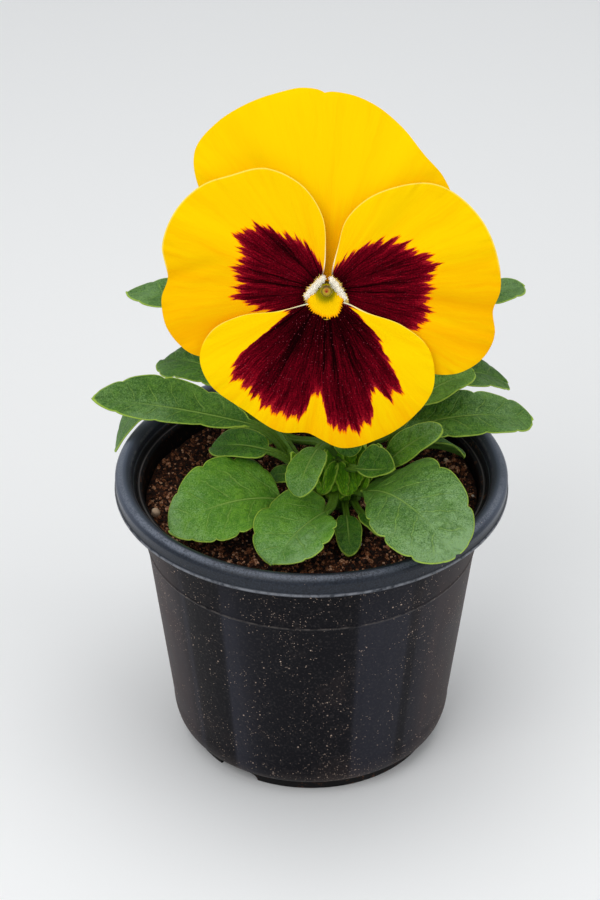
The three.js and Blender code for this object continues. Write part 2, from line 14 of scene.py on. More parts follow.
import bpy
import numpy as np
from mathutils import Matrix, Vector


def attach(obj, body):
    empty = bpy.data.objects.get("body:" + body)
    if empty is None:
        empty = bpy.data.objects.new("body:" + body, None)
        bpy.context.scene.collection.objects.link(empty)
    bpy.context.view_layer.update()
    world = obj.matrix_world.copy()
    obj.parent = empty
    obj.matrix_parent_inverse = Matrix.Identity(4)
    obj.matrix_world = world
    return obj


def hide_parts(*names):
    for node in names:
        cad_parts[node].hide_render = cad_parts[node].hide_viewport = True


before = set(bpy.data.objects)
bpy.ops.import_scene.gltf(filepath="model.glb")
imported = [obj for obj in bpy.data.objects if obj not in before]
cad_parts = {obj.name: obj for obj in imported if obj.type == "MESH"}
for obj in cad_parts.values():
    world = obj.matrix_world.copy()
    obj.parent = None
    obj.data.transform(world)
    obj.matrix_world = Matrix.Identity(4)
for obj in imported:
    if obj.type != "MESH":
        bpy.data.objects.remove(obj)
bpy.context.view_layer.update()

logging.basicConfig(level=logging.INFO, format="%(levelname)s %(message)s")
LOG = logging.getLogger("pansy")

Colour = tuple[float, float, float]
Point = Sequence[float]
Array = np.ndarray
Knots = tuple[tuple[float, float], ...]
Rows = tuple[Array, Array, Array, dict[str, Array]]
Material = bpy.types.Material
Mesh = bpy.types.Mesh
Socket = bpy.types.NodeSocket

MM = 0.001
# Millimetres across the square that the UV map "flat" spans.
CHART = 200.0
# Leaves wider than this have coarse veins and a finer mesh.
LARGE_LEAF = 12.0
COARSE_VEINS, FINE_VEINS = 6.0, 3.6
# How the side veins lean back from the midrib, and how they bend forward again.
VEIN_LEAN, VEIN_BEND = 0.82, 0.011


# ------------------------------------------------------------------------------------------ small maths


def smooth(low: float, high: float, value: Array) -> Array:
    """Ease values from 0 at low to 1 at high."""
    share = np.clip((value - low) / (high - low), 0, 1)
    return share * share * (3 - 2 * share)


def unit(vectors: Array) -> Array:
    """Scale the vectors along an array's last axis to length 1."""
    return vectors / np.maximum(np.linalg.norm(vectors, axis=-1, keepdims=True), 1e-12)


def bezier(handles: Array, share: Array) -> tuple[Array, Array]:
    """Follow a Bezier curve.

    Args:
        handles: The curve's points, one row each.
        share: Shares of the way along it.

    Returns:
        The points there and the unit tangents there.
    """
    share = np.asarray(share, float)[..., None]
    level = [np.broadcast_to(p, share.shape[:-1] + (3,)) for p in handles]
    while len(level) > 2:
        level = [a * (1 - share) + b * share for a, b in zip(level, level[1:])]
    return level[0] * (1 - share) + level[1] * share, unit(level[1] - level[0])


def rounded_loop(corners: Sequence[Point], count: int) -> Array:
    """Run a closed centripetal spline through points, evenly spaced along its length.

    Args:
        corners: Points in the plane that the curve passes through.
        count: How many points to return.

    Returns:
        Points on the curve, count by 2.
    """
    knots = np.array(corners, float)
    dense = []
    for i in range(len(knots)):
        p0, p1, p2, p3 = (knots[(i + k - 1) % len(knots)] for k in range(4))
        d0, d1, d2 = (math.sqrt(max(np.linalg.norm(b - a), 1e-6)) for a, b in ((p0, p1), (p1, p2), (p2, p3)))
        m1 = ((p1 - p0) / d0 - (p2 - p0) / (d0 + d1) + (p2 - p1) / d1) * d1
        m2 = ((p2 - p1) / d1 - (p3 - p1) / (d1 + d2) + (p3 - p2) / d2) * d1
        t = np.linspace(0, 1, 40, endpoint=False)[:, None]
        dense.append(
            p1 + m1 * t + (3 * (p2 - p1) - 2 * m1 - m2) * t**2 + (2 * (p1 - p2) + m1 + m2) * t**3
        )
    path = np.vstack(dense + [dense[0][:1]])
    run = np.concatenate([[0], np.cumsum(np.linalg.norm(np.diff(path, axis=0), axis=1))])
    at = np.linspace(0, run[-1], count, endpoint=False)
    return np.stack([np.interp(at, run, path[:, k]) for k in range(2)], axis=1)


def crumble(x: Array, y: Array, size: float, seed: int) -> Array:
    """Smooth random heights over the plane.

    Args:
        x: First coordinate.
        y: Second coordinate.
        size: Distance between neighbouring bumps.
        seed: Picks the pattern.

    Returns:
        Heights between about -1 and 1.
    """
    table = np.random.default_rng(seed).uniform(-1, 1, (64, 64))
    gx, gy = x / size, y / size
    ix, iy = np.floor(gx).astype(int), np.floor(gy).astype(int)
    fx, fy = smooth(0, 1, gx - ix), smooth(0, 1, gy - iy)
    corner = [table[(ix + a) % 64, (iy + b) % 64] for a, b in ((0, 0), (1, 0), (0, 1), (1, 1))]
    return (corner[0] * (1 - fx) + corner[1] * fx) * (1 - fy) + (corner[2] * (1 - fx) + corner[3] * fx) * fy


def xyz(x: Any, y: Any, z: Any) -> Array:
    """Join three arrays or numbers, spread over each other, into points."""
    return np.stack(np.broadcast_arrays(x, y, z), axis=-1)


def rotated(x: Any, y: Any, degrees: float) -> tuple[Any, Any]:
    """Turn places in the plane about its origin, and return their coordinates."""
    c, s = math.cos(math.radians(degrees)), math.sin(math.radians(degrees))
    return x * c - y * s, x * s + y * c


# ------------------------------------------------------------------------------------------ meshes


@dataclass
class Shape:
    """A mesh in the making: points in millimetres, faces, and what its materials read."""

    points: Array
    faces: list[tuple[int, ...]]
    flat: Array | None = None
    marks: dict[str, Array] = field(default_factory=dict)

    def volume(self) -> float:
        """Return six times the signed volume that the faces enclose."""
        total = 0.0
        for face in self.faces:
            a = self.points[face[0]]
            for b, c in zip(face[1:], face[2:]):
                total += float(np.dot(a, np.cross(self.points[b], self.points[c])))
        return total

    def outward(self) -> "Shape":
        """Turn the faces round if they point into the solid, and return the shape."""
        if self.volume() < 0:
            self.faces = [tuple(reversed(face)) for face in self.faces]
        return self

    def charted(self) -> "Shape":
        """Lay the UV map flat over the shape's own plane, and return the shape."""
        self.flat = chart(self.points)
        return self

    def joined(self, other: "Shape") -> "Shape":
        """Put another shape, with the same marks, beside this one, and return the two as one."""
        shift = len(self.points)
        faces = self.faces + [tuple(i + shift for i in face) for face in other.faces]
        flat = None if self.flat is None or other.flat is None else np.vstack([self.flat, other.flat])
        marks = {k: np.concatenate([v, other.marks[k]]) for k, v in self.marks.items() if k in other.marks}
        return Shape(np.vstack([self.points, other.points]), faces, flat, marks)

    def mesh(self, name: str) -> Mesh:
        """Make the Blender mesh, in metres.

        Args:
            name: The mesh's name.

        Returns:
            The mesh, with its UV map "flat" and its float marks.
        """
        mesh = bpy.data.meshes.new(name)
        mesh.from_pydata((self.points * MM).tolist(), [], self.faces)
        if self.flat is not None:
            corner = np.empty(len(mesh.loops), dtype=np.int32)
            mesh.loops.foreach_get("vertex_index", corner)
            layer = mesh.uv_layers.new(name="flat").data
            layer.foreach_set("uv", self.flat[corner].astype(np.float32).ravel())
        for mark, values in self.marks.items():
            mesh.attributes.new(mark, "FLOAT", "POINT").data.foreach_set("value", values.astype(np.float32))
        mesh.shade_smooth()
        mesh.update()
        return mesh


def chart(places: Array) -> Array:
    """Return the UV of places in millimetres, with 0,0 at the map's middle."""
    return places[..., :2] / CHART + 0.5


def quads(grid: Array) -> Array:
    """Return the corners of every cell of a grid of point numbers, row by row."""
    return np.stack([grid[:-1, :-1], grid[:-1, 1:], grid[1:, 1:], grid[1:, :-1]], axis=-1).reshape(-1, 4)


def skin(rings: Array, ends: Sequence[Point] | None = None) -> Shape:
    """Close a stack of rings into a body.

    Args:
        rings: Its points, rings by points round by 3.
        ends: Two points that close the first and the last ring in a fan, or None for flat caps.

    Returns:
        The closed shape.
    """
    grid = np.arange(rings.shape[0] * rings.shape[1]).reshape(rings.shape[:2])
    faces = quads(np.hstack([grid, grid[:, :1]])).tolist()
    first, last = grid[0].tolist(), grid[-1].tolist()
    points = rings.reshape(-1, 3)
    if ends is None:
        faces += [first[::-1], last]
    else:
        hub = len(points)
        points = np.vstack([points, ends])
        faces += [(hub, b, a) for a, b in zip(first, first[1:] + first[:1])]
        faces += [(hub + 1, a, b) for a, b in zip(last, last[1:] + last[:1])]
    return Shape(points, [tuple(face) for face in faces]).outward()


def slab(top: Array, bottom: Array, flat: Array, marks: dict[str, Array]) -> Shape:
    """Close two grids of points into a thin body.

    Args:
        top: Points of the upper face, rows by columns by 3.
        bottom: Points of the lower face, the same size.
        flat: UV of each grid point, rows by columns by 2.
        marks: Float marks of each grid point, rows by columns.

    Returns:
        The closed shape, with a mark "face" that is 1 above and 0 below.
    """
    rows, columns = top.shape[:2]
    size = rows * columns
    grid = np.arange(size).reshape(rows, columns)
    upper = quads(grid)
    lower = upper[:, ::-1] + size
    border = np.concatenate([grid[0, :-1], grid[:-1, -1], grid[-1, :0:-1], grid[:0:-1, 0]])
    after = np.roll(border, -1)
    wall = np.stack([border, border + size, after + size, after], axis=-1)
    faces = [tuple(f) for f in np.vstack([upper, lower, wall]).tolist()]
    points = np.vstack([top.reshape(-1, 3), bottom.reshape(-1, 3)])
    both = {k: np.tile(v.reshape(-1), 2) for k, v in marks.items()}
    both["face"] = np.repeat([1.0, 0.0], size)
    return Shape(points, faces, np.tile(flat.reshape(-1, 2), (2, 1)), both).outward()


def tube(path: Array, radius: Array, sides: int) -> Shape:
    """Sweep a round section along a path, closed at both ends.

    Args:
        path: Points along the middle.
        radius: Radius at each of them.
        sides: Points round the section.

    Returns:
        The closed shape.
    """
    tangent = unit(np.gradient(path, axis=0))
    normal = np.array([1.0, 0.3, 0.2])
    angle = np.linspace(0, 2 * np.pi, sides, endpoint=False)
    rings = []
    for centre, t, r in zip(path, tangent, radius):
        normal = unit(normal - t * np.dot(normal, t))
        across = np.cross(t, normal)
        rings.append(centre + r * (np.cos(angle)[:, None] * normal + np.sin(angle)[:, None] * across))
    return skin(np.array(rings))


def turned(profile: Array, segments: int) -> Shape:
    """Turn a profile that starts and ends on the axis about +Z.

    Args:
        profile: Radius and height of each point.
        segments: Points round the axis.

    Returns:
        The closed shape.
    """
    angle = np.linspace(0, 2 * np.pi, segments, endpoint=False)
    radius, height = profile[1:-1].T
    rings = xyz(np.outer(radius, np.cos(angle)), np.outer(radius, np.sin(angle)), height[:, None])
    return skin(rings, [(0, 0, profile[0, 1]), (0, 0, profile[-1, 1])])


def filleted(corners: Sequence[tuple[float, float, float]], steps: int = 5) -> Array:
    """Round the corners of an open outline.

    Args:
        corners: Across, up, and the length that the rounding takes off each side of the corner.
        steps: Points in each rounding.

    Returns:
        The rounded outline.
    """
    line = np.array([c[:2] for c in corners], float)
    out = [line[0]]
    for i in range(1, len(line) - 1):
        before, after = line[i - 1] - line[i], line[i + 1] - line[i]
        take = min(corners[i][2], np.linalg.norm(before) * 0.49, np.linalg.norm(after) * 0.49)
        if take <= 0:
            out.append(line[i])
            continue
        start, end = line[i] + unit(before) * take, line[i] + unit(after) * take
        for t in np.linspace(0, 1, steps):
            out.append((1 - t) ** 2 * start + 2 * t * (1 - t) * line[i] + t * t * end)
    return np.array(out + [line[-1]])


def stand(name: str, data: Any) -> bpy.types.Object:
    """Link a new object with the given data to the scene, and return it."""
    made = bpy.data.objects.new(name, data)
    bpy.context.scene.collection.objects.link(made)
    return made


def plain(body: bpy.types.Object, *spares: bpy.types.Object) -> Mesh:
    """Return a body's mesh with its modifiers worked in, and remove the body and the spares."""
    graph = bpy.context.evaluated_depsgraph_get()
    mesh = bpy.data.meshes.new_from_object(body.evaluated_get(graph), depsgraph=graph)
    body.modifiers.clear()
    for spare in (body, *spares):
        bpy.data.objects.remove(spare)
    return mesh


def place(mesh: Mesh, finish: Material | Sequence[Material],
          nodes: Iterable[str], name: str | None = None) -> bpy.types.Object:
    """Stand a mesh in the scene as a piece of the plant or pot.

    Args:
        mesh: The mesh, with its place in its points.
        finish: Its material, or several in the order of its material slots.
        nodes: The solids that it stands for.
        name: The piece's name, or the first solid's with "fine_" before it.

    Returns:
        The piece.
    """
    nodes = list(nodes)
    piece = stand(name or f"fine_{nodes[0]}", mesh)
    mesh.materials.clear()
    for material in finish if isinstance(finish, (list, tuple)) else [finish]:
        mesh.materials.append(material)
    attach(piece, "root")
    if nodes:
        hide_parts(*nodes)
    LOG.info("%s: %d faces", piece.name, len(mesh.polygons))
    return piece


# ------------------------------------------------------------------------------------------ node trees


def _operator(operation: str, swapped: bool = False) -> Callable[["Wire", Any], "Wire"]:
    """Make the method that stands for a Python operator on wires.

    Args:
        operation: The Math node's operation.
        swapped: Whether the other value comes first.

    Returns:
        The method.
    """
    def method(self: "Wire", other: Any) -> "Wire":
        """Join this wire and another value in a Math node."""
        return self.paint.math(operation, *((other, self) if swapped else (self, other)))

    return method


class Wire:
    """A shader socket that takes part in Python expressions on numbers."""

    def __init__(self, paint: "Paint", socket: Socket) -> None:
        """Hold a socket of a paint's tree."""
        self.paint = paint
        self.socket = socket

    __add__ = __radd__ = _operator("ADD")
    __sub__ = _operator("SUBTRACT")
    __rsub__ = _operator("SUBTRACT", swapped=True)
    __mul__ = __rmul__ = _operator("MULTIPLY")
    __truediv__ = _operator("DIVIDE")
    __pow__ = _operator("POWER")
    __gt__ = _operator("GREATER_THAN")

    def __abs__(self) -> "Wire":
        """Drop the sign."""
        return self.paint.math("ABSOLUTE", self)


class Tree:
    """A tree of nodes."""

    tree: bpy.types.NodeTree

    def node(self, kind: str, settings: dict[str, Any] | None = None,
             feeds: dict[str | int, Any] | None = None) -> bpy.types.Node:
        """Add a node.

        Args:
            kind: The node's type.
            settings: Its own settings, set first. "stops" are a ramp's and "bends" a curve's.
            feeds: Values, sockets or wires for its input sockets, by name or number.

        Returns:
            The node.
        """
        made = self.tree.nodes.new(kind)
        for key, value in (settings or {}).items():
            if key == "stops":
                self.set_stops(made.color_ramp.elements, value)
            elif key == "bends":
                self.set_bends(made.mapping, value)
            else:
                setattr(made, key, value)
        for key, value in (feeds or {}).items():
            source = value.socket if isinstance(value, Wire) else value
            if isinstance(source, Socket):
                self.tree.links.new(source, made.inputs[key])
            else:
                made.inputs[key].default_value = source
        return made

    def set_stops(self, ramp: Any, stops: Sequence[tuple[float, Colour]]) -> None:
        """Give a colour ramp its stops."""
        while len(ramp) < len(stops):
            ramp.new(0.5)
        for element, (position, colour) in zip(ramp, stops):
            element.position = position
            element.color = (*colour, 1)

    def set_bends(self, mapping: bpy.types.CurveMapping, bends: Sequence[tuple[float, float]]) -> None:
        """Give a curve its points."""
        points = mapping.curves[0].points
        for x, y in bends[1:-1]:
            points.new(x, y)
        points[0].location = bends[0]
        points[len(points) - 1].location = bends[-1]
        mapping.update()


class Paint(Tree):
    """A material's node tree, written as expressions on its sockets."""

    def __init__(self, name: str) -> None:
        """Start an empty material of that name."""
        self.material = bpy.data.materials.new(name)
        self.material.use_nodes = True
        self.tree = self.material.node_tree
        self.tree.nodes.clear()

    def wire(self, kind: str, output: str | int = 0, settings: dict[str, Any] | None = None,
             feeds: dict[str | int, Any] | None = None) -> Wire:
        """Add a node and return the wire from one of its outputs."""
        return Wire(self, self.node(kind, settings, feeds).outputs[output])

    def math(self, operation: str, a: Any, b: Any = None) -> Wire:
        """Work on one or two numbers or wires with a Math node."""
        feeds = {0: a} if b is None else {0: a, 1: b}
        return self.wire("ShaderNodeMath", 0, {"operation": operation}, feeds)

    def step(self, value: Wire, low: float, high: float) -> Wire:
        """Ease a wire from 0 at low to 1 at high."""
        return self.wire("ShaderNodeMapRange", "Result", {"interpolation_type": "SMOOTHSTEP"},
                         {"Value": value, "From Min": low, "From Max": high})

    def mixed(self, share: Any, a: Any, b: Any) -> Wire:
        """Blend two colours.

        Args:
            share: How much of the second one.
            a: First colour or wire.
            b: Second colour or wire.

        Returns:
            The blended colour.
        """
        colours = [v if isinstance(v, Wire) else (*v, 1) for v in (a, b)]
        return self.wire("ShaderNodeMix", 2, {"data_type": "RGBA", "clamp_factor": True},
                         {0: share, 6: colours[0], 7: colours[1]})

    def coated(self, base: Any, *coats: tuple[Any, Any]) -> Wire:
        """Lay coats over a base, each a share and a colour."""
        for share, colour in coats:
            base = self.mixed(share, base, colour)
        return base

    def place(self) -> Wire:
        """Return the point's place on the object, in metres."""
        return self.wire("ShaderNodeTexCoord", "Object")

    def parts(self, vector: Wire) -> tuple[Wire, Wire, Wire]:
        """Split a vector into its three numbers."""
        made = self.node("ShaderNodeSeparateXYZ", None, {0: vector})
        return Wire(self, made.outputs[0]), Wire(self, made.outputs[1]), Wire(self, made.outputs[2])

    def vector(self, x: Any, y: Any, z: Any) -> Wire:
        """Join three numbers into a vector."""
        return self.wire("ShaderNodeCombineXYZ", 0, None, {0: x, 1: y, 2: z})

    def mark(self, name: str) -> Wire:
        """Read a float mark of the mesh."""
        return self.wire("ShaderNodeAttribute", "Fac", {"attribute_name": name})

    def chart(self) -> tuple[Wire, Wire]:
        """Read the UV map as millimetres from its middle."""
        u, v, _ = self.parts(self.wire("ShaderNodeUVMap", 0, {"uv_map": "flat"}))
        return (u - 0.5) * CHART, (v - 0.5) * CHART

    def noise(self, where: Wire, scale: float, detail: float = 3, roughness: float = 0.5,
              output: str = "Fac") -> Wire:
        """Read smooth noise between 0 and 1, or a vector of it from the output Color."""
        return self.wire("ShaderNodeTexNoise", output, None,
                         {"Vector": where, "Scale": scale, "Detail": detail, "Roughness": roughness})

    def cells(self, where: Wire, scale: float) -> tuple[Wire, Wire]:
        """Read the distance to the nearest scattered point and that point's random number."""
        made = self.node("ShaderNodeTexVoronoi", None, {"Vector": where, "Scale": scale})
        random, _, _ = self.parts(Wire(self, made.outputs["Color"]))
        return Wire(self, made.outputs["Distance"]), random

    def ramp(self, value: Wire, stops: Sequence[tuple[float, Colour]]) -> Wire:
        """Colour a number by a ramp of stops."""
        return self.wire("ShaderNodeValToRGB", 0, {"stops": stops}, {0: value})

    def bend(self, value: Wire, bends: Sequence[tuple[float, float]]) -> Wire:
        """Pass a number through a curve of points between 0 and 1."""
        return self.wire("ShaderNodeFloatCurve", 0, {"bends": bends}, {"Value": value})

    def dice(self, value: Wire) -> Wire:
        """Give a random number that belongs to a number."""
        return self.wire("ShaderNodeTexWhiteNoise", "Value", {"noise_dimensions": "1D"}, {"W": value})

    def finish(self, base: Any, rough: Any, shine: float = 0.5, relief: Wire | None = None,
               depth: float = 0.0002, strength: float = 1.0, flesh: float = 0.0) -> Material:
        """End the tree in a shader.

        Args:
            base: Its colour.
            rough: Its roughness.
            shine: How much it mirrors.
            relief: Height that bends the shading, or None.
            depth: The relief's height in metres.
            strength: How much of it shows.
            flesh: How much light runs through it.

        Returns:
            The material.
        """
        feeds = {"Base Color": base, "Roughness": rough, "Specular IOR Level": shine}
        if relief is not None:
            feeds["Normal"] = self.wire("ShaderNodeBump", 0, None,
                                        {"Height": relief, "Distance": depth, "Strength": strength})
        if flesh:
            feeds |= {"Subsurface Weight": flesh, "Subsurface Radius": (0.0006, 0.001, 0.0002),
                      "Subsurface Scale": 1.0}
        shader = self.wire("ShaderNodeBsdfPrincipled", 0, None, feeds)
        self.node("ShaderNodeOutputMaterial", None, {0: shader})
        return self.material


# ------------------------------------------------------------------------------------------ finishes


@dataclass(frozen=True)
class PotPlastic:
    """Black moulded plastic that soil, splashes and handling have dulled, with painted reflections,
    highlights and shade.
    """

    base: Colour = (0.0028, 0.0026, 0.0044)
    sheen_band: Colour = (0.021, 0.0215, 0.031)
    dust: Colour = (0.66, 0.5, 0.4)
    # The brown dust colour, also laid on the sides as a painted grazing reflection.
    dust_film_and_sheen: Colour = (0.16, 0.106, 0.093)
    bead: float = 61.6
    lining: float = 47.4
    shoulder: float = 12.0
    ledge: float = 77.7
    ledge_radius: float = 46.0
    # The radius of the painted highlight along the rim's crest.
    crest_highlight_radius: float = 50.9

    def around(self, p: Paint, where: Wire) -> tuple[Wire, Wire, Wire, Wire]:
        """Return the share of a half turn from the front, z, the height and the distance from the axis."""
        x, y, z = p.parts(where)
        return p.math("ARCTAN2", x, 0 - y) / math.pi, z, z * 1000, (x * x + y * y) ** 0.5 * 1000

    def wall(self) -> Material:
        """Return the wall's finish: painted vertical reflection streaks, a brown dust layer that is partly a
        painted grazing reflection towards the sides, and specks of dried soil.
        """
        p = Paint("pot_wall")
        where = p.place()
        turn, z, height, away = self.around(p, where)
        streaks = p.noise(p.vector(turn * 16, z * 4, 2.0), 2.2, 4, 0.6)
        cloud = p.noise(where, 55, 5, 0.62)
        grit = p.noise(where, 2300, 3, 0.7)
        # Painted reflections: light vertical streaks where softboxes would mirror in the wall, weaker above
        # the bead.
        reflection_bands = p.bend(turn * 0.5 + 0.5, REFLECTION_BANDS) * (1 - p.step(height, self.bead - 1, self.bead + 1) * 0.45)
        # Partly a real brown dust layer and partly a painted grazing reflection, strongest at the left and
        # right sides as seen from the front.
        dust_film_and_sheen = p.bend(turn * 0.5 + 0.5, DUST_FILM_AND_SHEEN) * p.step(cloud * 0.6 + 0.4 * streaks, 0.14, 0.8)
        speck, near = self.specks(p, where, height)
        mist = p.step(p.noise(where, 1500, 2, 0.6), 0.5, 0.7)
        line = p.step(abs(height - self.bead), 0.42, 0.1) * p.step(p.noise(where, 500, 3, 0.6), 0.3, 0.7)
        foot = p.step(height, 12, 3) * p.step(cloud + (grit - 0.5) * 0.7, 0.3, 0.7)
        dirt = p.step(height, 7, 1) * p.step(p.noise(where, 160, 4, 0.6), 0.5, 0.68)
        base = p.coated(
            self.base, (reflection_bands * (0.5 + 0.5 * streaks + 0.5 * grit), self.sheen_band), (dust_film_and_sheen, self.dust_film_and_sheen),
            (near * (0.02 + 0.07 * grit), self.dust_film_and_sheen), (mist * 0.27, (0.066, 0.058, 0.058)),
            (line * 0.75, (0.1, 0.088, 0.082)), (foot * 0.4, (0.075, 0.052, 0.044)),
            (dirt * 0.7, (0.19, 0.11, 0.072)), (speck, self.dust))
        above = p.step(height, self.ledge - 0.1, self.ledge + 0.1)
        inside = p.step(away - (height - self.shoulder) * 0.1194, 37.7, 37.5) * (1 - above)
        inside = p.math("MAXIMUM", inside, above * p.step(away, 47.8, 47.6))
        crusts = p.step(p.noise(where, 800, 3, 0.7), 0.56, 0.68) * p.step(p.noise(where, 90, 2), 0.42, 0.6)
        # A painted highlight along the inner ledge's edge.
        ledge = p.step(abs(away - self.ledge_radius), 0.3, 0.1) * above
        lining = p.coated((0.0055, 0.005, 0.0055), (crusts * 0.8, (0.13, 0.055, 0.028)),
                          (ledge * 0.7, (0.1, 0.09, 0.09)))
        base = p.mixed(inside, base, lining)
        rough = 0.34 + 0.2 * cloud + 0.3 * speck + 0.2 * dust_film_and_sheen
        relief = grit * 0.3 + speck * 1.2 + p.noise(where, 260, 3) * 0.4 + line * 0.4
        return p.finish(base, rough, 0.08, relief, 0.0001, 0.5)

    def specks(self, p: Paint, where: Wire, height: Wire) -> tuple[Wire, Wire]:
        """Scatter dried soil over the wall.

        Args:
            p: The paint that is being made.
            where: Place on the pot in metres.
            height: Height in millimetres.

        Returns:
            Where the specks are, and the haze of fine dust round them.
        """
        cluster = p.noise(where, 75, 4, 0.65)
        warped = p.wire("ShaderNodeVectorMath", 0, {"operation": "MULTIPLY_ADD"},
                        {0: p.noise(where, 900, 2, 0.5, "Color"), 1: (0.0001,) * 3, 2: where})
        more = (cluster - 0.5) * 0.62 + p.step(height, 16, 3) * 0.06
        total: Any = 0.0
        for scale, share, reach in ((900, 0.975, 0.24), (1500, 0.94, 0.25), (2600, 0.935, 0.34)):
            distance, random = p.cells(warped, scale)
            total = total + (random + more > share) * p.step(distance, reach, reach * 0.5)
        speck = p.math("MINIMUM", total, 1.0)
        near = p.step(cluster, 0.52, 0.74)
        return speck * (0.35 + 0.65 * p.step(p.noise(where, 1100, 2), 0.35, 0.65)), near

    def rim(self) -> Material:
        """Return the rolled rim's finish: smoother than the wall and blue-grey, with painted highlights on
        its sides, crest, inner edge and lower lip, and painted shade on its inner slope.
        """
        p = Paint("pot_rim")
        where = p.place()
        turn, z, height, away = self.around(p, where)
        cloud = p.noise(where, 70, 5, 0.6)
        round_streak = p.noise(p.vector(turn * 14, z * 900, 0.0), 1.0, 4, 0.6)
        grit = p.noise(where, 2100, 3, 0.75)
        highlight_breakup = p.noise(where, 420, 3, 0.7)
        # Painted highlight on the rim's outer face towards the left and right, as seen from the front.
        side = p.step(abs(turn), 0.2, 0.5) * p.step(height, 79.0, 80.5)
        # Painted highlight along the crest, weaker at the front.
        crest = (p.step(abs(away - self.crest_highlight_radius), 1.1, 0.3) * p.step(height, 80.9, 81.7)
                 * (1 - p.step(abs(turn), 0.32, 0.1) * 0.4))
        # Painted highlights: a thin line along the inner edge and one along the lower lip, broken up by
        # noise.
        edge = p.step(abs(away - 48.1), 0.3, 0.1) * p.step(highlight_breakup, 0.4, 0.6)
        lip = p.step(abs(height - 78.0), 0.45, 0.12) * p.step(highlight_breakup, 0.28, 0.62)
        speck, _ = self.specks(p, where, height)
        base = p.coated(
            (0.0035, 0.0046, 0.0078), (cloud * 0.5 + (grit - 0.5) * 2.2 + 0.25, (0.024, 0.031, 0.046)),
            (side * 0.9, (0.088, 0.106, 0.148)),
            (crest * p.step(cloud * 0.6 + grit, 0.5, 1.0) * 0.95, (0.17, 0.19, 0.235)),
            # Painted shade over the rim's inner slope, then the painted highlights of the inner edge and the
            # lower lip.
            (p.step(away, 50.0, 48.8) * 0.6, (0.003, 0.0036, 0.0058)), (edge * 0.4, (0.15, 0.15, 0.16)),
            (lip * 0.8, (0.23, 0.24, 0.27)),
            (speck * p.step(p.noise(where, 130, 2), 0.5, 0.66) * 0.7, self.dust))
        rough = 0.22 + 0.12 * cloud + 0.16 * grit
        relief = grit * 0.7 + round_streak * 0.4
        return p.finish(base, rough, 0.24, relief, 0.0001, 0.8)


# The share of the way round, with the front at 0.5, and how strong the painted reflection streak (first
# table) or the brown dust layer, partly a painted grazing reflection at the sides (second table), is there.
REFLECTION_BANDS = ((0.0, 0.35), (0.07, 0.1), (0.15, 0.55), (0.22, 0.2), (0.3, 0.5), (0.345, 0.6), (0.357, 0.35),
         (0.361, 0.8), (0.366, 0.3), (0.373, 0.05), (0.409, 0.04), (0.4135, 0.95), (0.43, 0.62), (0.45, 0.2),
         (0.475, 0.08), (0.5, 0.05), (0.5405, 0.05), (0.5455, 0.75), (0.57, 0.9), (0.6, 0.72), (0.604, 0.15),
         (0.611, 0.2), (0.617, 0.6), (0.66, 0.5), (0.75, 0.15), (0.85, 0.6), (1.0, 0.35))
DUST_FILM_AND_SHEEN = ((0.0, 0.16), (0.12, 0.2), (0.24, 0.42), (0.3, 0.4), (0.345, 0.28), (0.37, 0.03), (0.5, 0.0),
        (0.61, 0.02), (0.64, 0.22), (0.69, 0.36), (0.73, 0.5), (0.77, 0.32), (0.83, 0.2), (0.9, 0.16),
        (1.0, 0.16))


@dataclass(frozen=True)
class PottingMix:
    """Moist reddish-brown peat and bark."""

    dark: Colour = (0.005, 0.0015, 0.0007)
    middle: Colour = (0.082, 0.022, 0.0068)
    light: Colour = (0.35, 0.128, 0.05)

    def bed(self) -> Material:
        """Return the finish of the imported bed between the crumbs."""
        p = Paint("mix_bed")
        where = p.place()
        tone = p.noise(where, 900, 4, 0.65)
        base = p.ramp(tone, [(0.4, self.dark), (0.72, self.middle), (1.0, self.light)])
        relief = p.noise(where, 1600, 4, 0.7)
        return p.finish(base, 0.9, 0.25, relief, 0.0006)

    def crumb(self) -> Material:
        """Return the crumbs' finish, each with a tone of its own."""
        p = Paint("mix_crumb")
        where = p.place()
        tone = p.mark("tone")
        fleck = p.noise(where, 2500, 3, 0.6)
        value = tone * 0.8 + (fleck - 0.5) * 1.35 + 0.1
        base = p.ramp(value, [(0.28, self.dark), (0.52, self.middle), (0.8, self.light),
                              (1.0, (0.74, 0.45, 0.29))])
        relief = p.noise(where, 3200, 3, 0.7)
        return p.finish(base, 0.86, 0.3, relief, 0.0003)

    def pale(self, name: str, light: Colour, dark: Colour) -> Material:
        """Return the finish of a pale bit in the mix.

        Args:
            name: The material's name.
            light: Its light colour.
            dark: Its dark colour.

        Returns:
            The material.
        """
        p = Paint(name)
        where = p.place()
        base = p.mixed(p.noise(where, 1500, 4, 0.65), dark, light)
        return p.finish(base, 0.8, relief=p.noise(where, 2400, 3, 0.6))


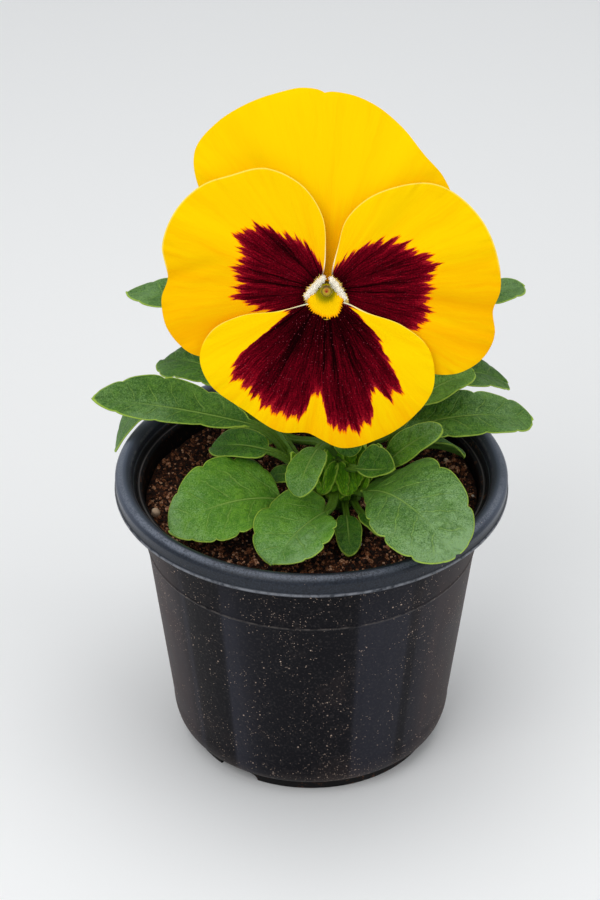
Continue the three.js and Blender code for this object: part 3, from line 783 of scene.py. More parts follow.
@dataclass(frozen=True)
class LeafGreen:
    """A leaf's finish: green with pale veins and a thin yellow-green margin, a painted sheen, and painted
    shade near its base, in its creases and between its ribs.
    """

    name: str = "leaf"
    deep: Colour = (0.026, 0.098, 0.008)
    bright: Colour = (0.075, 0.195, 0.022)
    # bloom is the colour of a painted sheen; the share below says how much of it is laid on, and the drift
    # how much more towards the tip.
    bloom: Colour = (0.22, 0.37, 0.16)
    sheen_share: float = 0.3
    vein: Colour = (0.24, 0.4, 0.07)
    margin: Colour = (0.4, 0.58, 0.06)
    stalk: Colour = (0.095, 0.205, 0.006)
    under: Colour = (0.13, 0.26, 0.05)
    spacing: float = COARSE_VEINS
    ribbed: float = 0.0
    drift: float = 0.32

    def material(self) -> Material:
        """Return the finish."""
        p = Paint(self.name)
        where = p.place()
        along, across = p.chart()
        side = abs(across)
        shake = p.noise(where, 150, 3, 0.6) - 0.5
        run = (along - VEIN_LEAN * side + VEIN_BEND * side * side + shake * 4.5) / self.spacing
        nearest = abs(p.math("FRACT", run) - 0.5)
        edge = p.mark("edge")
        reach = p.step(side, 0.2, 1.6) * p.step(edge, 0.95, 0.5)
        lateral = p.step(nearest, 0.44, 0.49) * reach
        beside = p.step(nearest, 0.37, 0.45) * reach * (1 - lateral)
        web = p.noise(p.vector(along * MM, across * MM, 0.3), 700, 4, 0.6)
        net = p.step(abs(web - 0.5), 0.035, 0.0)
        midrib = p.step(side, 0.36, 0.14) * p.step(p.mark("along"), 0.86, 0.4)
        cloud = p.noise(where, 90, 4, 0.6)
        speckle = p.noise(where, 2900, 3, 0.7)
        feather = p.noise(p.vector(run * 2.4, side * 0.22, 5.0), 1.0, 3, 0.6) - 0.5
        wrinkle = p.noise(where, 600, 3, 0.6) - 0.5
        tone = cloud * 0.75 + (speckle - 0.5) * 2.4 + feather * 1.1 + wrinkle * 1.2
        share = p.mark("along")
        # Where the painted sheen lies: patchy noise, growing towards the tip.
        drift = (p.noise(where, 50, 4, 0.6) * 1.4 - 0.14 - self.drift * 0.5 + (speckle - 0.5) * 1.4
                 + p.step(share, 0.05, 1.0) * self.drift)
        painted_sheen = p.step(drift, 0.42, 1.05) * self.sheen_share
        crease = p.step(abs(p.noise(where, 240, 3, 0.6) - 0.5), 0.06, 0.0) * reach
        stripes = p.noise(p.vector(along * 0.05, across * 2.4, 4.0), 1.0, 3, 0.6)
        stalk = p.mark("stalk")
        ribs = p.noise(p.vector(along * 0.02, across * 1.3, 4.0), 1.0, 2, 0.5)
        stalk_colour = p.mixed(ribs * 0.9 + speckle * 0.3, self.stalk_dark(), self.stalk)
        base = p.coated(
            self.deep, (p.step(tone, 0.1, 0.66), self.bright),
            # Painted shade near the blade's base beside the midrib, then the painted sheen.
            (p.step(share, 0.4, 0.0) * p.step(side, 5, 0.5) * 0.55, self.deep), (painted_sheen, self.bloom),
            # Painted shade along the creases.
            (crease * 0.42, self.deep), (net * 0.22 * (1 - midrib), self.vein), (lateral * 0.42, self.vein),
            # On ribbed lobes, painted shade in the grooves between the ribs.
            (beside * 0.34, self.deep), (p.step(stripes, 0.62, 0.4) * self.ribbed, self.deep),
            (midrib * 0.7, self.vein), (stalk, stalk_colour),
            (p.step(p.mark("margin"), 0.31, 0.12) * (1 - stalk) * 0.85, self.margin),
            ((1 - p.mark("face")) * 0.5, self.under))
        relief = (speckle * 0.6 + cloud * 0.4 - lateral * 0.3 - midrib * 0.7 + beside * 0.1
                  + wrinkle * 1.6 + feather * 0.9 - crease * 0.45 + stripes * (self.ribbed * 1.5))
        rough = 0.44 + 0.16 * speckle + 0.1 * painted_sheen
        return p.finish(base, rough, 0.3, relief, 0.00042, 0.95, flesh=0.06)

    def stalk_dark(self) -> Colour:
        """Return the shade between the stalk's ribs."""
        return (self.stalk[0] * 0.4, self.stalk[1] * 0.5, self.stalk[2] * 0.4)


@dataclass(frozen=True)
class StemGreen:
    """The stems' finish: pale green with fine lengthwise lines."""

    light: Colour = (0.14, 0.31, 0.02)
    dark: Colour = (0.045, 0.14, 0.002)

    def material(self) -> Material:
        """Return the finish."""
        p = Paint("stem")
        where = p.place()
        x, y, z = p.parts(where)
        lines = p.noise(p.vector(x * 3, y * 3, z * 0.25), 700, 3, 0.6)
        tone = p.noise(where, 120, 3, 0.6)
        base = p.mixed(lines * 0.55 + tone * 0.5, self.dark, self.light)
        return p.finish(base, 0.42, relief=lines, strength=0.7, flesh=0.1)


@dataclass(frozen=True)
class PetalPaint:
    """A petal's finish. Its pattern spreads from the throat along the petal's axis.

    outer and inner give, by degrees from the axis, how far from the throat the dark blotch ends and starts.
    """

    name: str
    axis: float
    outer: Knots = ()
    inner: Knots = ()
    inside: Colour = (1.0, 0.85, 0.4)
    inside_edge: Colour = (1.0, 0.6, 0.06)
    yellow: Colour = (1.0, 0.655, 0.0015)
    orange: Colour = (0.95, 0.44, 0.0012)
    depth_of_orange: float = 0.5
    teeth: float = 3.6
    veins: float = 26.0
    dusk: float = 9.0
    # Heights from which the painted edge highlight fades in.
    edge_highlight_from: tuple[float, float] = (3.0, 7.0)
    warm: tuple[float, float] = (22.0, -6.0)
    sparkle: float = 0.14
    span: float = 260.0
    reach: float = 60.0

    def curve(self, p: Paint, turn: Wire, knots: Knots) -> Wire:
        """Read a distance in millimetres that depends on the direction.

        Args:
            p: The paint that is being made.
            turn: Radians from the petal's axis.
            knots: Degrees from the axis and millimetres.

        Returns:
            The distance.
        """
        share = turn * (180 / math.pi / self.span) + 0.5
        bends = [(a / self.span + 0.5, d / self.reach) for a, d in knots]
        bends = [(0.0, bends[0][1]), *bends, (1.0, bends[-1][1])]
        return p.bend(share, bends) * self.reach

    def tooth(self, p: Paint, turn: Wire, per_radian: float, seed: float) -> Wire:
        """Return a row of pointed teeth of random lengths, between 0 and 1."""
        run = turn * per_radian + seed
        cell = p.math("FLOOR", run)
        peak = 1 - abs(p.math("FRACT", run) * 2 - 1)
        return peak * (0.25 + 0.75 * p.dice(cell))

    def material(self) -> Material:
        """Return the finish."""
        p = Paint(self.name)
        where = p.place()
        across, up = p.chart()
        c, s = math.cos(math.radians(self.axis)), math.sin(math.radians(self.axis))
        forward = across * c + up * s
        aside = up * c - across * s
        flow = p.vector(across * MM, up * MM, 0.0)
        shake = (p.noise(flow, 160, 3, 0.55) - 0.5) * 0.06
        turn = p.math("ARCTAN2", aside, forward) + shake
        radius = (across * across + up * up) ** 0.5
        fan = p.noise(p.vector(turn * 26, radius * 0.03, 1.7), 1.0, 4, 0.62)
        broad = p.noise(p.vector(turn * 6, radius * 0.035, 4.2), 1.0, 3, 0.5)
        fine = p.noise(p.vector(turn * 70, radius * 0.12, 8.8), 1.0, 3, 0.6)
        tint = (p.step(radius, 30, 5) * 0.25 + (fan - 0.5) * 0.85 + (broad - 0.5) * 1.0 + (fine - 0.5) * 0.55
                + p.step(up, *self.warm) * 0.62)
        base = p.mixed(p.step(tint, -0.12, 1.0) * self.depth_of_orange * 2, self.yellow, self.orange)
        rough: Any = 0.5 + 0.12 * fan
        relief = fan * 0.7 + broad * 0.8 + p.noise(where, 1500, 2, 0.5) * 0.12
        if self.outer:
            base, rough = self.blotch(p, base, turn, radius, flow, fan)
            if self.axis < 0:
                below = p.step((across * across + (up - 0.1) ** 2) ** 0.5, 3.9, 1.7)
                strokes = p.noise(p.vector(across * 2.6, up * 0.2, 2.0), 1.0, 2, 0.5)
                strokes = p.step(strokes + below * 0.3, 0.4, 0.72)
                base = p.mixed(below * strokes * 0.9, base, (0.24, 0.23, 0.002))
            # Painted highlight along the edge, where the petal's thickness catches the light.
            pale = p.step(p.mark("rim"), 0.42, 0.2) * p.step(up, *self.edge_highlight_from)
            edge = p.mixed(p.step(radius, 5, 15), (1.0, 0.95, 0.66), (1.0, 0.77, 0.12))
            base = p.mixed(pale * 0.8, base, edge)
        base = p.mixed((1 - p.mark("front")) * 0.3, base, (0.93, 0.72, 0.16))
        return p.finish(base, rough, 0.0, relief, 0.00016, 0.6)

    def blotch(self, p: Paint, base: Wire, turn: Wire, radius: Wire, flow: Wire,
               fan: Wire) -> tuple[Wire, Wire]:
        """Paint the velvety blotch with its toothed edges and dark veins.

        Args:
            p: The paint that is being made.
            base: The petal's colour so far.
            turn: Radians from the petal's axis.
            radius: Millimetres from the throat.
            flow: Place on the petal's plane, in metres.
            fan: Noise that runs out from the throat.

        Returns:
            The colour and the roughness with the blotch.
        """
        long_teeth = self.tooth(p, turn, 9.6, 0.3) * self.teeth
        short_teeth = self.tooth(p, turn, 23, 7.1) * (self.teeth * 0.5)
        hairs = self.tooth(p, turn, 52, 3.7) * (self.teeth * 0.27)
        edge = self.curve(p, turn, self.outer) - self.teeth * 0.78 + long_teeth + short_teeth + hairs
        depth = edge - radius
        mask = p.step(depth, -0.06, 0.12)
        bite = self.tooth(p, turn, 10, 1.9) * 0.8 + self.tooth(p, turn, 24, 5.3) * 0.5
        start = self.curve(p, turn, self.inner) + bite - 0.7
        inside = p.step(radius - start, -0.08, 0.16)
        streak = p.noise(p.vector(turn * 30, radius * 0.09, 6.1), 1.0, 4, 0.75)
        thread = p.noise(p.vector(turn * 90, radius * 0.35, 3.3), 1.0, 2, 0.6)
        vein = p.step(p.noise(p.vector(turn * 13, radius * 0.012, 9.4), 1.0, 2, 0.6), 0.46, 0.33)
        fade = p.step(radius, self.veins, self.veins * 0.4)
        grain = p.noise(flow, 2600, 3, 0.75) - 0.5
        heat = (0.5 + p.step(depth, 7, 0) * 0.18 + p.step(depth, 2.6, 0) * 0.3 + (streak - 0.5) * 1.25
                + (thread - 0.5) * 0.9 + grain * 1.3
                - vein * 0.4 * fade - p.step(radius, self.dusk, self.dusk * 0.3) * 0.36)
        wine = p.ramp(heat, [(0.0, (0.007, 0.0004, 0.001)), (0.28, (0.034, 0.0006, 0.0026)),
                             (0.55, (0.088, 0.0009, 0.005)), (0.78, (0.18, 0.0018, 0.009)),
                             (1.0, (0.36, 0.01, 0.018))])
        distance, random = p.cells(flow, 2100)
        dots = p.step(distance, 0.34, 0.12) * (random + (p.noise(flow, 90, 2) - 0.5) * 0.5 > 0.82)
        wine = p.mixed(dots * self.sparkle, wine, (0.5, 0.09, 0.12))
        front = p.mark("front")
        glow = p.step(depth, -1.0, -0.05) * (1 - mask) * front
        base = p.mixed(glow * 0.9, base, (0.93, 0.13, 0.001))
        base = p.mixed(mask * (0.4 + 0.6 * front), base, wine)
        rim_glow = p.step(radius - start, -0.9, 0.0)
        throat = p.mixed(rim_glow * 0.8, self.inside, self.inside_edge)
        base = p.mixed(inside, throat, base)
        velvet = mask * inside
        return base, 0.52 + 0.2 * velvet + 0.1 * fan


SIDE_LEFT = PetalPaint(
    "petal_side_left", 165.0,
    outer=((-80, 5.6), (-70, 6.4), (-58, 10.4), (-54, 13.3), (-47, 14.4), (-42, 17.0), (-36, 18.6),
           (-33, 22.2), (-29.5, 23.9), (-22.5, 25.8), (-17, 27.6), (-12, 24.6), (-7, 24.0), (-2, 23.4),
           (4.7, 23.8), (11.7, 22.0), (20, 22.9), (24, 21.2), (31, 17.9), (42, 14.5), (60, 9.0)),
    inner=((-80, 4.5), (-60, 4.3), (-43, 4.1), (-20, 4.1), (0, 4.5), (27, 5.7), (60, 6.0)),
    yellow=(0.96, 0.6, 0.0013))
SIDE_RIGHT = PetalPaint(
    "petal_side_right", 0.0,
    outer=((-62, 9.0), (-50, 16.0), (-24, 25.4), (-15, 27.6), (-7, 27.0), (1.5, 26.6), (12, 28.2),
           (18, 27.4), (26, 25.0), (37, 21.4), (44, 18.4), (52, 14.0), (60, 9.8), (80, 6.4)),
    inner=((-60, 6.9), (-30, 6.8), (-21, 6.5), (0, 4.85), (13.5, 4.5), (40, 4.3), (59, 4.3), (80, 4.5)),
    yellow=(0.97, 0.62, 0.0013))
LIP = PetalPaint(
    "petal_lip", -90.0,
    outer=((-62, 11.5), (-57, 15.6), (-54.5, 22.5), (-52, 28.8), (-49.5, 31.2), (-39.5, 31.8), (-32.7, 32.4),
           (-26.7, 33.8), (-18, 34.2), (-12.7, 33.9), (-8.4, 30.2), (-4.3, 26.8), (0.5, 31.5), (5.4, 36.0),
           (15, 36.0), (21.7, 32.8), (26.1, 28.6), (31.1, 31.8), (39.2, 30.1), (41.2, 25.2), (45.4, 20.9),
           (51, 15.8), (55, 10.6), (60, 8.0)),
    inner=((-70, 5.6), (-51.5, 5.7), (-30, 6.2), (0, 6.6), (17.6, 6.8), (33, 6.4), (49, 5.5), (70, 5.2)),
    inside=(1.0, 0.6, 0.002), inside_edge=(1.0, 0.34, 0.001), teeth=3.2, veins=34.0, dusk=24.0,
    edge_highlight_from=(-15.0, -8.0), warm=(-20.0, -42.0), sparkle=0.34)
UPPER = PetalPaint("petal_upper", 92.0, yellow=(1.0, 0.63, 0.0014), orange=(1.0, 0.47, 0.0012),
                   depth_of_orange=0.4, warm=(30.0, 12.0))


# ------------------------------------------------------------------------------------------ growth by rule


class Rule(Tree):
    """A geometry node tree that scatters small shapes over a surface."""

    def __init__(self, name: str, sizes: dict[str, float]) -> None:
        """Start a tree with a geometry input, named sizes and a geometry output.

        Args:
            name: The tree's name.
            sizes: Names and default values of its number inputs.
        """
        self.tree = bpy.data.node_groups.new(name, "GeometryNodeTree")
        face = self.tree.interface
        face.new_socket("Surface", in_out="INPUT", socket_type="NodeSocketGeometry")
        for key, value in sizes.items():
            face.new_socket(key, in_out="INPUT", socket_type="NodeSocketFloat").default_value = value
        face.new_socket("Result", in_out="OUTPUT", socket_type="NodeSocketGeometry")
        self.given = self.tree.nodes.new("NodeGroupInput").outputs

    def random(self, low: Any, high: Any, seed: int) -> Socket:
        """Return a random number, or a vector if low is one, for each point."""
        if isinstance(low, tuple):
            made = self.node("FunctionNodeRandomValue", {"data_type": "FLOAT_VECTOR"},
                             {0: low, 1: high, "Seed": seed})
            return made.outputs[0]
        made = self.node("FunctionNodeRandomValue", {"data_type": "FLOAT"}, {2: low, 3: high, "Seed": seed})
        return made.outputs[1]

    def scaled(self, vector: Socket, scale: Any) -> Socket:
        """Multiply a vector by a number or a socket."""
        made = self.node("ShaderNodeVectorMath", {"operation": "SCALE"}, {0: vector, "Scale": scale})
        return made.outputs[0]

    def end(self, geometry: Socket, finish: Material, with_surface: bool) -> None:
        """Realize the instances, give them their finish and end the tree.

        Args:
            geometry: The instances.
            finish: Their material.
            with_surface: Whether the surface that they grow from stays.
        """
        if with_surface:
            joined = self.node("GeometryNodeJoinGeometry", None, {0: geometry})
            self.tree.links.new(self.given["Surface"], joined.inputs[0])
            geometry = joined.outputs[0]
        real = self.node("GeometryNodeRealizeInstances", None, {0: geometry})
        dressed = self.node("GeometryNodeSetMaterial", None, {0: real.outputs[0], "Material": finish})
        self.node("NodeGroupOutput", None, {0: dressed.outputs[0]})

    def grow(self, surface: Mesh, sizes: Sequence[float], name: str) -> Mesh:
        """Run the tree on a surface.

        Args:
            surface: The mesh to scatter over.
            sizes: Values of the tree's number inputs, in their order.
            name: The resulting mesh's name.

        Returns:
            The result as a plain mesh.
        """
        carrier = stand(name, surface)
        modifier = carrier.modifiers.new("rule", "NODES")
        modifier.node_group = self.tree
        inputs = [i for i in self.tree.interface.items_tree if i.in_out == "INPUT"]
        for item, value in zip(inputs[1:], sizes, strict=True):
            modifier[item.identifier] = float(value)
        mesh = plain(carrier)
        mesh.name = name
        return mesh


class Grain(Enum):
    """What a scattered bit looks like: the limits of its random stretch."""

    CRUMB = ((0.55, 0.55, 0.45), (1.0, 1.0, 0.95))
    HAIR = ((0.9, 0.9, 0.6), (1.1, 1.1, 1.1))


# A full turn in radians, as far as a random turn needs it.
FULL_TURN = 6.28


def crumb_bit(rule: Rule) -> Socket:
    """Return a small ball that noise has pushed out of round."""
    ball = rule.node("GeometryNodeMeshIcoSphere", None, {"Radius": 1.0, "Subdivisions": 1})
    bumps = rule.node("ShaderNodeTexNoise", None, {"Scale": 1.1, "Detail": 1.0})
    centred = rule.node("ShaderNodeVectorMath", {"operation": "SUBTRACT"},
                        {0: bumps.outputs["Color"], 1: (0.5, 0.5, 0.5)})
    offset = rule.scaled(centred.outputs[0], 1.9)
    return rule.node("GeometryNodeSetPosition", None, {0: ball.outputs[0], "Offset": offset}).outputs[0]


def hair_bit(rule: Rule) -> Socket:
    """Return a short blunt hair."""
    return rule.node("GeometryNodeMeshCone", None, {"Vertices": 5, "Side Segments": 2, "Radius Top": 0.09,
                                                    "Radius Bottom": 0.13, "Depth": 1.0}).outputs[0]


def scatter_rule(name: str, grain: Grain, finish: Material, seed: int) -> Rule:
    """Make the rule that scatters bits of one kind.

    Args:
        name: The tree's name.
        grain: The kind of bit.
        finish: Its material.
        seed: Picks the scatter.

    Returns:
        The rule, whose inputs are Density, Smallest and Largest.
    """
    rule = Rule(name, {"Density": 1.0, "Smallest": 0.1, "Largest": 1.0})
    spread = rule.node("GeometryNodeDistributePointsOnFaces", {"distribute_method": "RANDOM"},
                       {"Mesh": rule.given["Surface"], "Density": rule.given["Density"], "Seed": seed})
    if grain is Grain.CRUMB:
        bit = crumb_bit(rule)
        turn = rule.random((0.0, 0.0, 0.0), (FULL_TURN,) * 3, seed + 1)
    else:
        bit = hair_bit(rule)
        aim = rule.node("FunctionNodeAlignRotationToVector", {"axis": "Z"},
                        {"Vector": spread.outputs["Normal"]})
        lean = rule.random((-0.55, -0.55, 0.0), (0.55, 0.55, FULL_TURN), seed + 1)
        turn = rule.node("FunctionNodeRotateRotation", {"rotation_space": "LOCAL"},
                         {0: aim.outputs[0], 1: lean}).outputs[0]
    size = rule.random(rule.given["Smallest"], rule.given["Largest"], seed + 2)
    scale = rule.scaled(rule.random(*grain.value, seed + 3), size)
    placed = rule.node("GeometryNodeInstanceOnPoints", None,
                       {"Points": spread.outputs["Points"], "Instance": bit, "Rotation": turn,
                        "Scale": scale})
    tone = rule.random(0.0, 1.0, seed + 4)
    toned = rule.node("GeometryNodeStoreNamedAttribute", {"data_type": "FLOAT", "domain": "INSTANCE"},
                      {"Geometry": placed.outputs[0], "Name": "tone", "Value": tone})
    rule.end(toned.outputs[0], finish, grain is Grain.HAIR)
    return rule


# ------------------------------------------------------------------------------------------ pot and mix


@dataclass
class NurseryPot:
    """The moulded pot."""

    height: float = 82.8
    rim_radius: float = 52.5
    rim_width: float = 4.6
    rim_depth: float = 5.5
    step_radius: float = 46.2
    step_drop: float = 4.6
    wall: float = 1.2
    bead_drop: float = 21.2
    shoulder_radius: float = 38.4
    shoulder_height: float = 12.0
    foot_radius: float = 34.6
    foot_height: float = 4.0
    slots: int = 3
    slot_azimuth: float = -126.0
    slot_width: float = 12.5
    slot_height: float = 3.0
    slot_reach: float = 5.2

    def wall_radius(self, height: float) -> float:
        """Return the wall's outer radius at a height."""
        top = self.height - self.rim_depth
        share = (height - self.shoulder_height) / (top - self.shoulder_height)
        return self.shoulder_radius + (self.step_radius - self.shoulder_radius) * share

    def profile(self) -> Array:
        """Return the outline, from under the floor over the rim to the floor's upper side."""
        rim, step, foot, at = self.rim_radius, self.step_radius, self.foot_radius, self.wall_radius
        h, skirt, ledge = self.height, self.height - self.rim_depth, self.height - self.step_drop
        bead = h - self.bead_drop
        crest = self.rim_width / 2
        out = [(0, 0, 0), (foot - 0.8, 0, 0.5), (foot, self.foot_height, 0.5)]
        inner = foot + 0.9
        for i in range(7):
            a = math.pi / 2 * i / 6
            rise = self.foot_height + (self.shoulder_height - self.foot_height) * (1 - math.cos(a))
            out.append((inner + (self.shoulder_radius - inner) * math.sin(a), rise, 0.5))
        out += [(at(z), z, 0) for z in (24, 36, 48)]
        out += [(at(bead - 0.6), bead - 0.6, 0.15), (at(bead) + 0.25, bead, 0.2),
                (at(bead + 0.6), bead + 0.6, 0.15),
                (at(skirt - 4), skirt - 4, 0),
                (step, skirt - 0.2, 0.6), (step + 0.5, h - 3.2, 1.2),
                (rim - 1.5, h - 2.8, 0.7), (rim - 1.2, skirt + 0.1, 0.2),
                (rim - 0.6, skirt - 0.1, 0.25), (rim, skirt + 0.25, 0.3),
                (rim, skirt + 0.85, 0.25), (rim - 0.35, skirt + 1.15, 0.2),
                (rim - 0.3, h - 3.2, 0.9)]
        for i in range(1, 10):
            a = math.pi * i / 10
            out.append((rim - crest - 0.15 + (crest + 0.05) * math.cos(a),
                        h - crest + crest * math.sin(a), 0.2))
        out += [(rim - self.rim_width - 0.15, h - crest - 0.5, 0.3),
                (rim - self.rim_width - 0.5, ledge + 0.9, 0.5),
                (step + 0.1, ledge + 0.35, 0.3), (step - 0.6, ledge + 0.5, 0.2),
                (step - self.wall - 0.05, ledge - 0.1, 0.3),
                (at(skirt - 2) - self.wall, skirt - 2, 0.5),
                (at(self.shoulder_height) - self.wall, self.shoulder_height, 2),
                (foot - self.wall, self.foot_height, 0.6),
                (foot - self.wall - 1, self.wall + 0.2, 0.3), (0, self.wall + 0.2, 0)]
        return filleted(out)

    def slot_cutter(self, azimuth: float) -> Shape:
        """Return the arched solid that cuts a drainage slot.

        Args:
            azimuth: The slot's direction from the axis, in degrees.

        Returns:
            The solid.
        """
        half, side = self.slot_width / 2, self.slot_height * 0.3
        arch = [(-half, -1.0)] + [(-half * math.cos(a), side + self.slot_height * 0.7 * math.sin(a))
                                  for a in np.linspace(0, math.pi, 19)] + [(half, -1.0)]
        near, far = self.foot_radius - self.slot_reach, self.foot_radius + 3
        points = np.array([[*rotated(r, y, azimuth), z] for r in (near, far) for y, z in arch])
        n = len(arch)
        faces = [tuple(range(n)), tuple(range(2 * n - 1, n - 1, -1))]
        faces += [(i + n, (i + 1) % n + n, (i + 1) % n, i) for i in range(n)]
        return Shape(points, faces).outward()

    def build(self) -> None:
        """Make the pot and its dried specks."""
        plastic = PotPlastic()
        body = stand("pot_body", turned(self.profile(), 192).mesh("pot_body"))
        cutters = []
        for i in range(self.slots):
            name = f"slot_{i}"
            cutters.append(stand(name, self.slot_cutter(self.slot_azimuth + 360 / self.slots * i).mesh(name)))
            cut = body.modifiers.new(name, "BOOLEAN")
            cut.object, cut.operation, cut.solver = cutters[-1], "DIFFERENCE", "EXACT"
        mesh = plain(body, *cutters)
        mesh.shade_smooth()
        mesh.set_sharp_from_angle(angle=math.radians(38))
        piece = place(mesh, [plastic.wall(), plastic.rim()], ["pot"])
        low = (self.height - self.rim_depth - 1) * MM
        lining = plastic.lining * MM
        for face in piece.data.polygons:
            x, y, z = face.center
            face.material_index = int(z > low and math.hypot(x, y) > lining)
        self.dried_specks()

    def dried_specks(self) -> None:
        """Stick small crumbs of dried mix to the outside of the wall."""
        angle = np.linspace(0, 2 * np.pi, 97)
        height = np.linspace(5, self.height - self.rim_depth - 1, 30)
        radius = np.array([self.wall_radius(max(h, self.shoulder_height)) for h in height])
        low = height < self.shoulder_height
        radius[low] -= 2.6 * ((self.shoulder_height - height[low]) / 8) ** 2
        points = xyz(np.outer(radius, np.cos(angle)), np.outer(radius, np.sin(angle)), height[:, None])
        points = points.reshape(-1, 3)
        cells = quads(np.arange(len(points)).reshape(-1, angle.size))
        centre = points[cells].mean(axis=1)
        turn = np.arctan2(centre[:, 1], centre[:, 0]) * 42
        keep = crumble(turn, centre[:, 2], 11, 5) + 0.6 * crumble(turn, centre[:, 2], 4, 9) > 0.34
        surface = Shape(points, [tuple(q) for q in cells[keep].tolist()]).mesh("wall_area")
        finish = PottingMix().pale("dried_mix", (0.6, 0.46, 0.36), (0.16, 0.1, 0.07))
        rule = scatter_rule("dried_specks", Grain.CRUMB, finish, 21)
        mesh = rule.grow(surface, (26000, 0.00006, 0.00024), "dried_specks")
        place(mesh, finish, [], "dried_specks")


@dataclass
class PottingBed:
    """The potting mix that fills the pot."""

    pot: NurseryPot
    level: float = 74.0
    bank: float = 0.9
    mound: float = 1.2
    gap: float = 0.35
    crown: tuple[float, float] = (8.0, -7.0)
    hole: float = 3.4

    def surface(self, x: Array, y: Array) -> Array:
        """Return the height of the mix's surface, mounded to the crown and crumbly."""
        away = np.hypot(x - self.crown[0], y - self.crown[1])
        lie = self.level + self.bank * x / self.pot.step_radius + self.mound * np.exp(-((away / 20) ** 2))
        bumps = crumble(x, y, 6.5, 3) * 0.55 + crumble(x, y, 2.4, 4) * 0.3 + crumble(x, y, 1.0, 6) * 0.16
        return lie + bumps

    def build(self) -> None:
        """Make the bed, its crumbs and its pale bits."""
        mix = PottingMix()
        place(self.body().mesh("mix_bed"), mix.bed(), ["soil"])
        area = self.area()
        crumb = mix.crumb()
        pale = mix.pale("perlite", (0.82, 0.78, 0.74), (0.5, 0.42, 0.36))
        crumbs = scatter_rule("mix_crumbs", Grain.CRUMB, crumb, 3)
        bits = scatter_rule("perlite", Grain.CRUMB, pale, 58)
        for name, rule, finish, sizes in (("mix_crumbs", crumbs, crumb, (1.45e6, 0.00024, 0.00062)),
                                          ("mix_clods", crumbs, crumb, (0.24e6, 0.0005, 0.00115)),
                                          ("perlite", bits, pale, (4200, 0.0003, 0.0008))):
            place(rule.grow(area, sizes, name), finish, [], name)
        stone = mix.pale("pebble", (0.86, 0.64, 0.46), (0.42, 0.27, 0.17))
        tan = self.pebble((-41.2, -10.6, 74.9), 1.0).joined(self.pebble((36.6, 14.6, 75.1), 0.62))
        place(tan.mesh("pebbles"), stone, [], "pebbles")
        place(self.pebble((43.0, -3.0, 75.2), 0.4).mesh("white_bit"), pale, [], "white_bit")

    def body(self) -> Shape:
        """Return the mix's body, from the pot's floor to its crumbly surface."""
        wall, foot = self.pot.wall + self.gap, self.pot.foot_radius
        edge = self.pot.wall_radius(self.level) - wall
        floor = self.pot.wall + 0.2 + self.gap
        low = [(0, floor), (foot - wall - 1.2, floor), (foot - wall - 0.2, self.pot.foot_height),
               (self.pot.wall_radius(self.pot.shoulder_height) - wall - 0.3, self.pot.shoulder_height + 0.3),
               (edge, self.level - 1.8)]
        top = [(r, self.level) for r in np.linspace(edge, 0.4, 110)]
        shape = turned(np.array(low + top + [(0, self.level)]), 260)
        high = shape.points[:, 2] > self.level - 0.1
        shape.points[high, 2] = self.surface(*shape.points[high, :2].T)
        return shape

    def area(self) -> Mesh:
        """Return the open part of the surface, for the scatter."""
        edge = self.pot.wall_radius(self.level) - self.pot.wall - self.gap - 0.6
        step = 0.9
        axis = np.arange(-edge, edge + step, step)
        gx, gy = np.meshgrid(axis, axis, indexing="ij")
        points = xyz(gx, gy, self.surface(gx, gy) + 0.1).reshape(-1, 3)
        cells = quads(np.arange(gx.size).reshape(gx.shape))[:, [0, 3, 2, 1]]
        centre = points[cells].mean(axis=1)
        inside = np.hypot(centre[:, 0], centre[:, 1]) < edge
        clear = np.hypot(centre[:, 0] - self.crown[0], centre[:, 1] - self.crown[1]) > self.hole + 0.4
        return Shape(points, [tuple(q) for q in cells[inside & clear].tolist()]).mesh("mix_area")

    def pebble(self, middle: Point, size: float) -> Shape:
        """Return a pebble.

        Args:
            middle: Its middle.
            size: Its size, where 1 is 2.5 mm across.

        Returns:
            The pebble.
        """
        u = np.linspace(0, np.pi, 16)[1:-1, None]
        v = np.linspace(0, 2 * np.pi, 24, endpoint=False)[None]
        x, y, z = np.sin(u) * np.cos(v), np.sin(u) * np.sin(v), np.cos(u)
        bump = 1 + 0.09 * np.sin(3 * x + 1) * np.cos(2.6 * y) + 0.06 * np.sin(5 * z + 2 * x)
        shape = skin(xyz(1.25 * x * bump, y * bump, 1.35 * z * bump), [(0, 0, 1.35), (0, 0, -1.35)])
        shape.points = shape.points * size + np.array(middle)
        return shape


# ------------------------------------------------------------------------------------------ stems


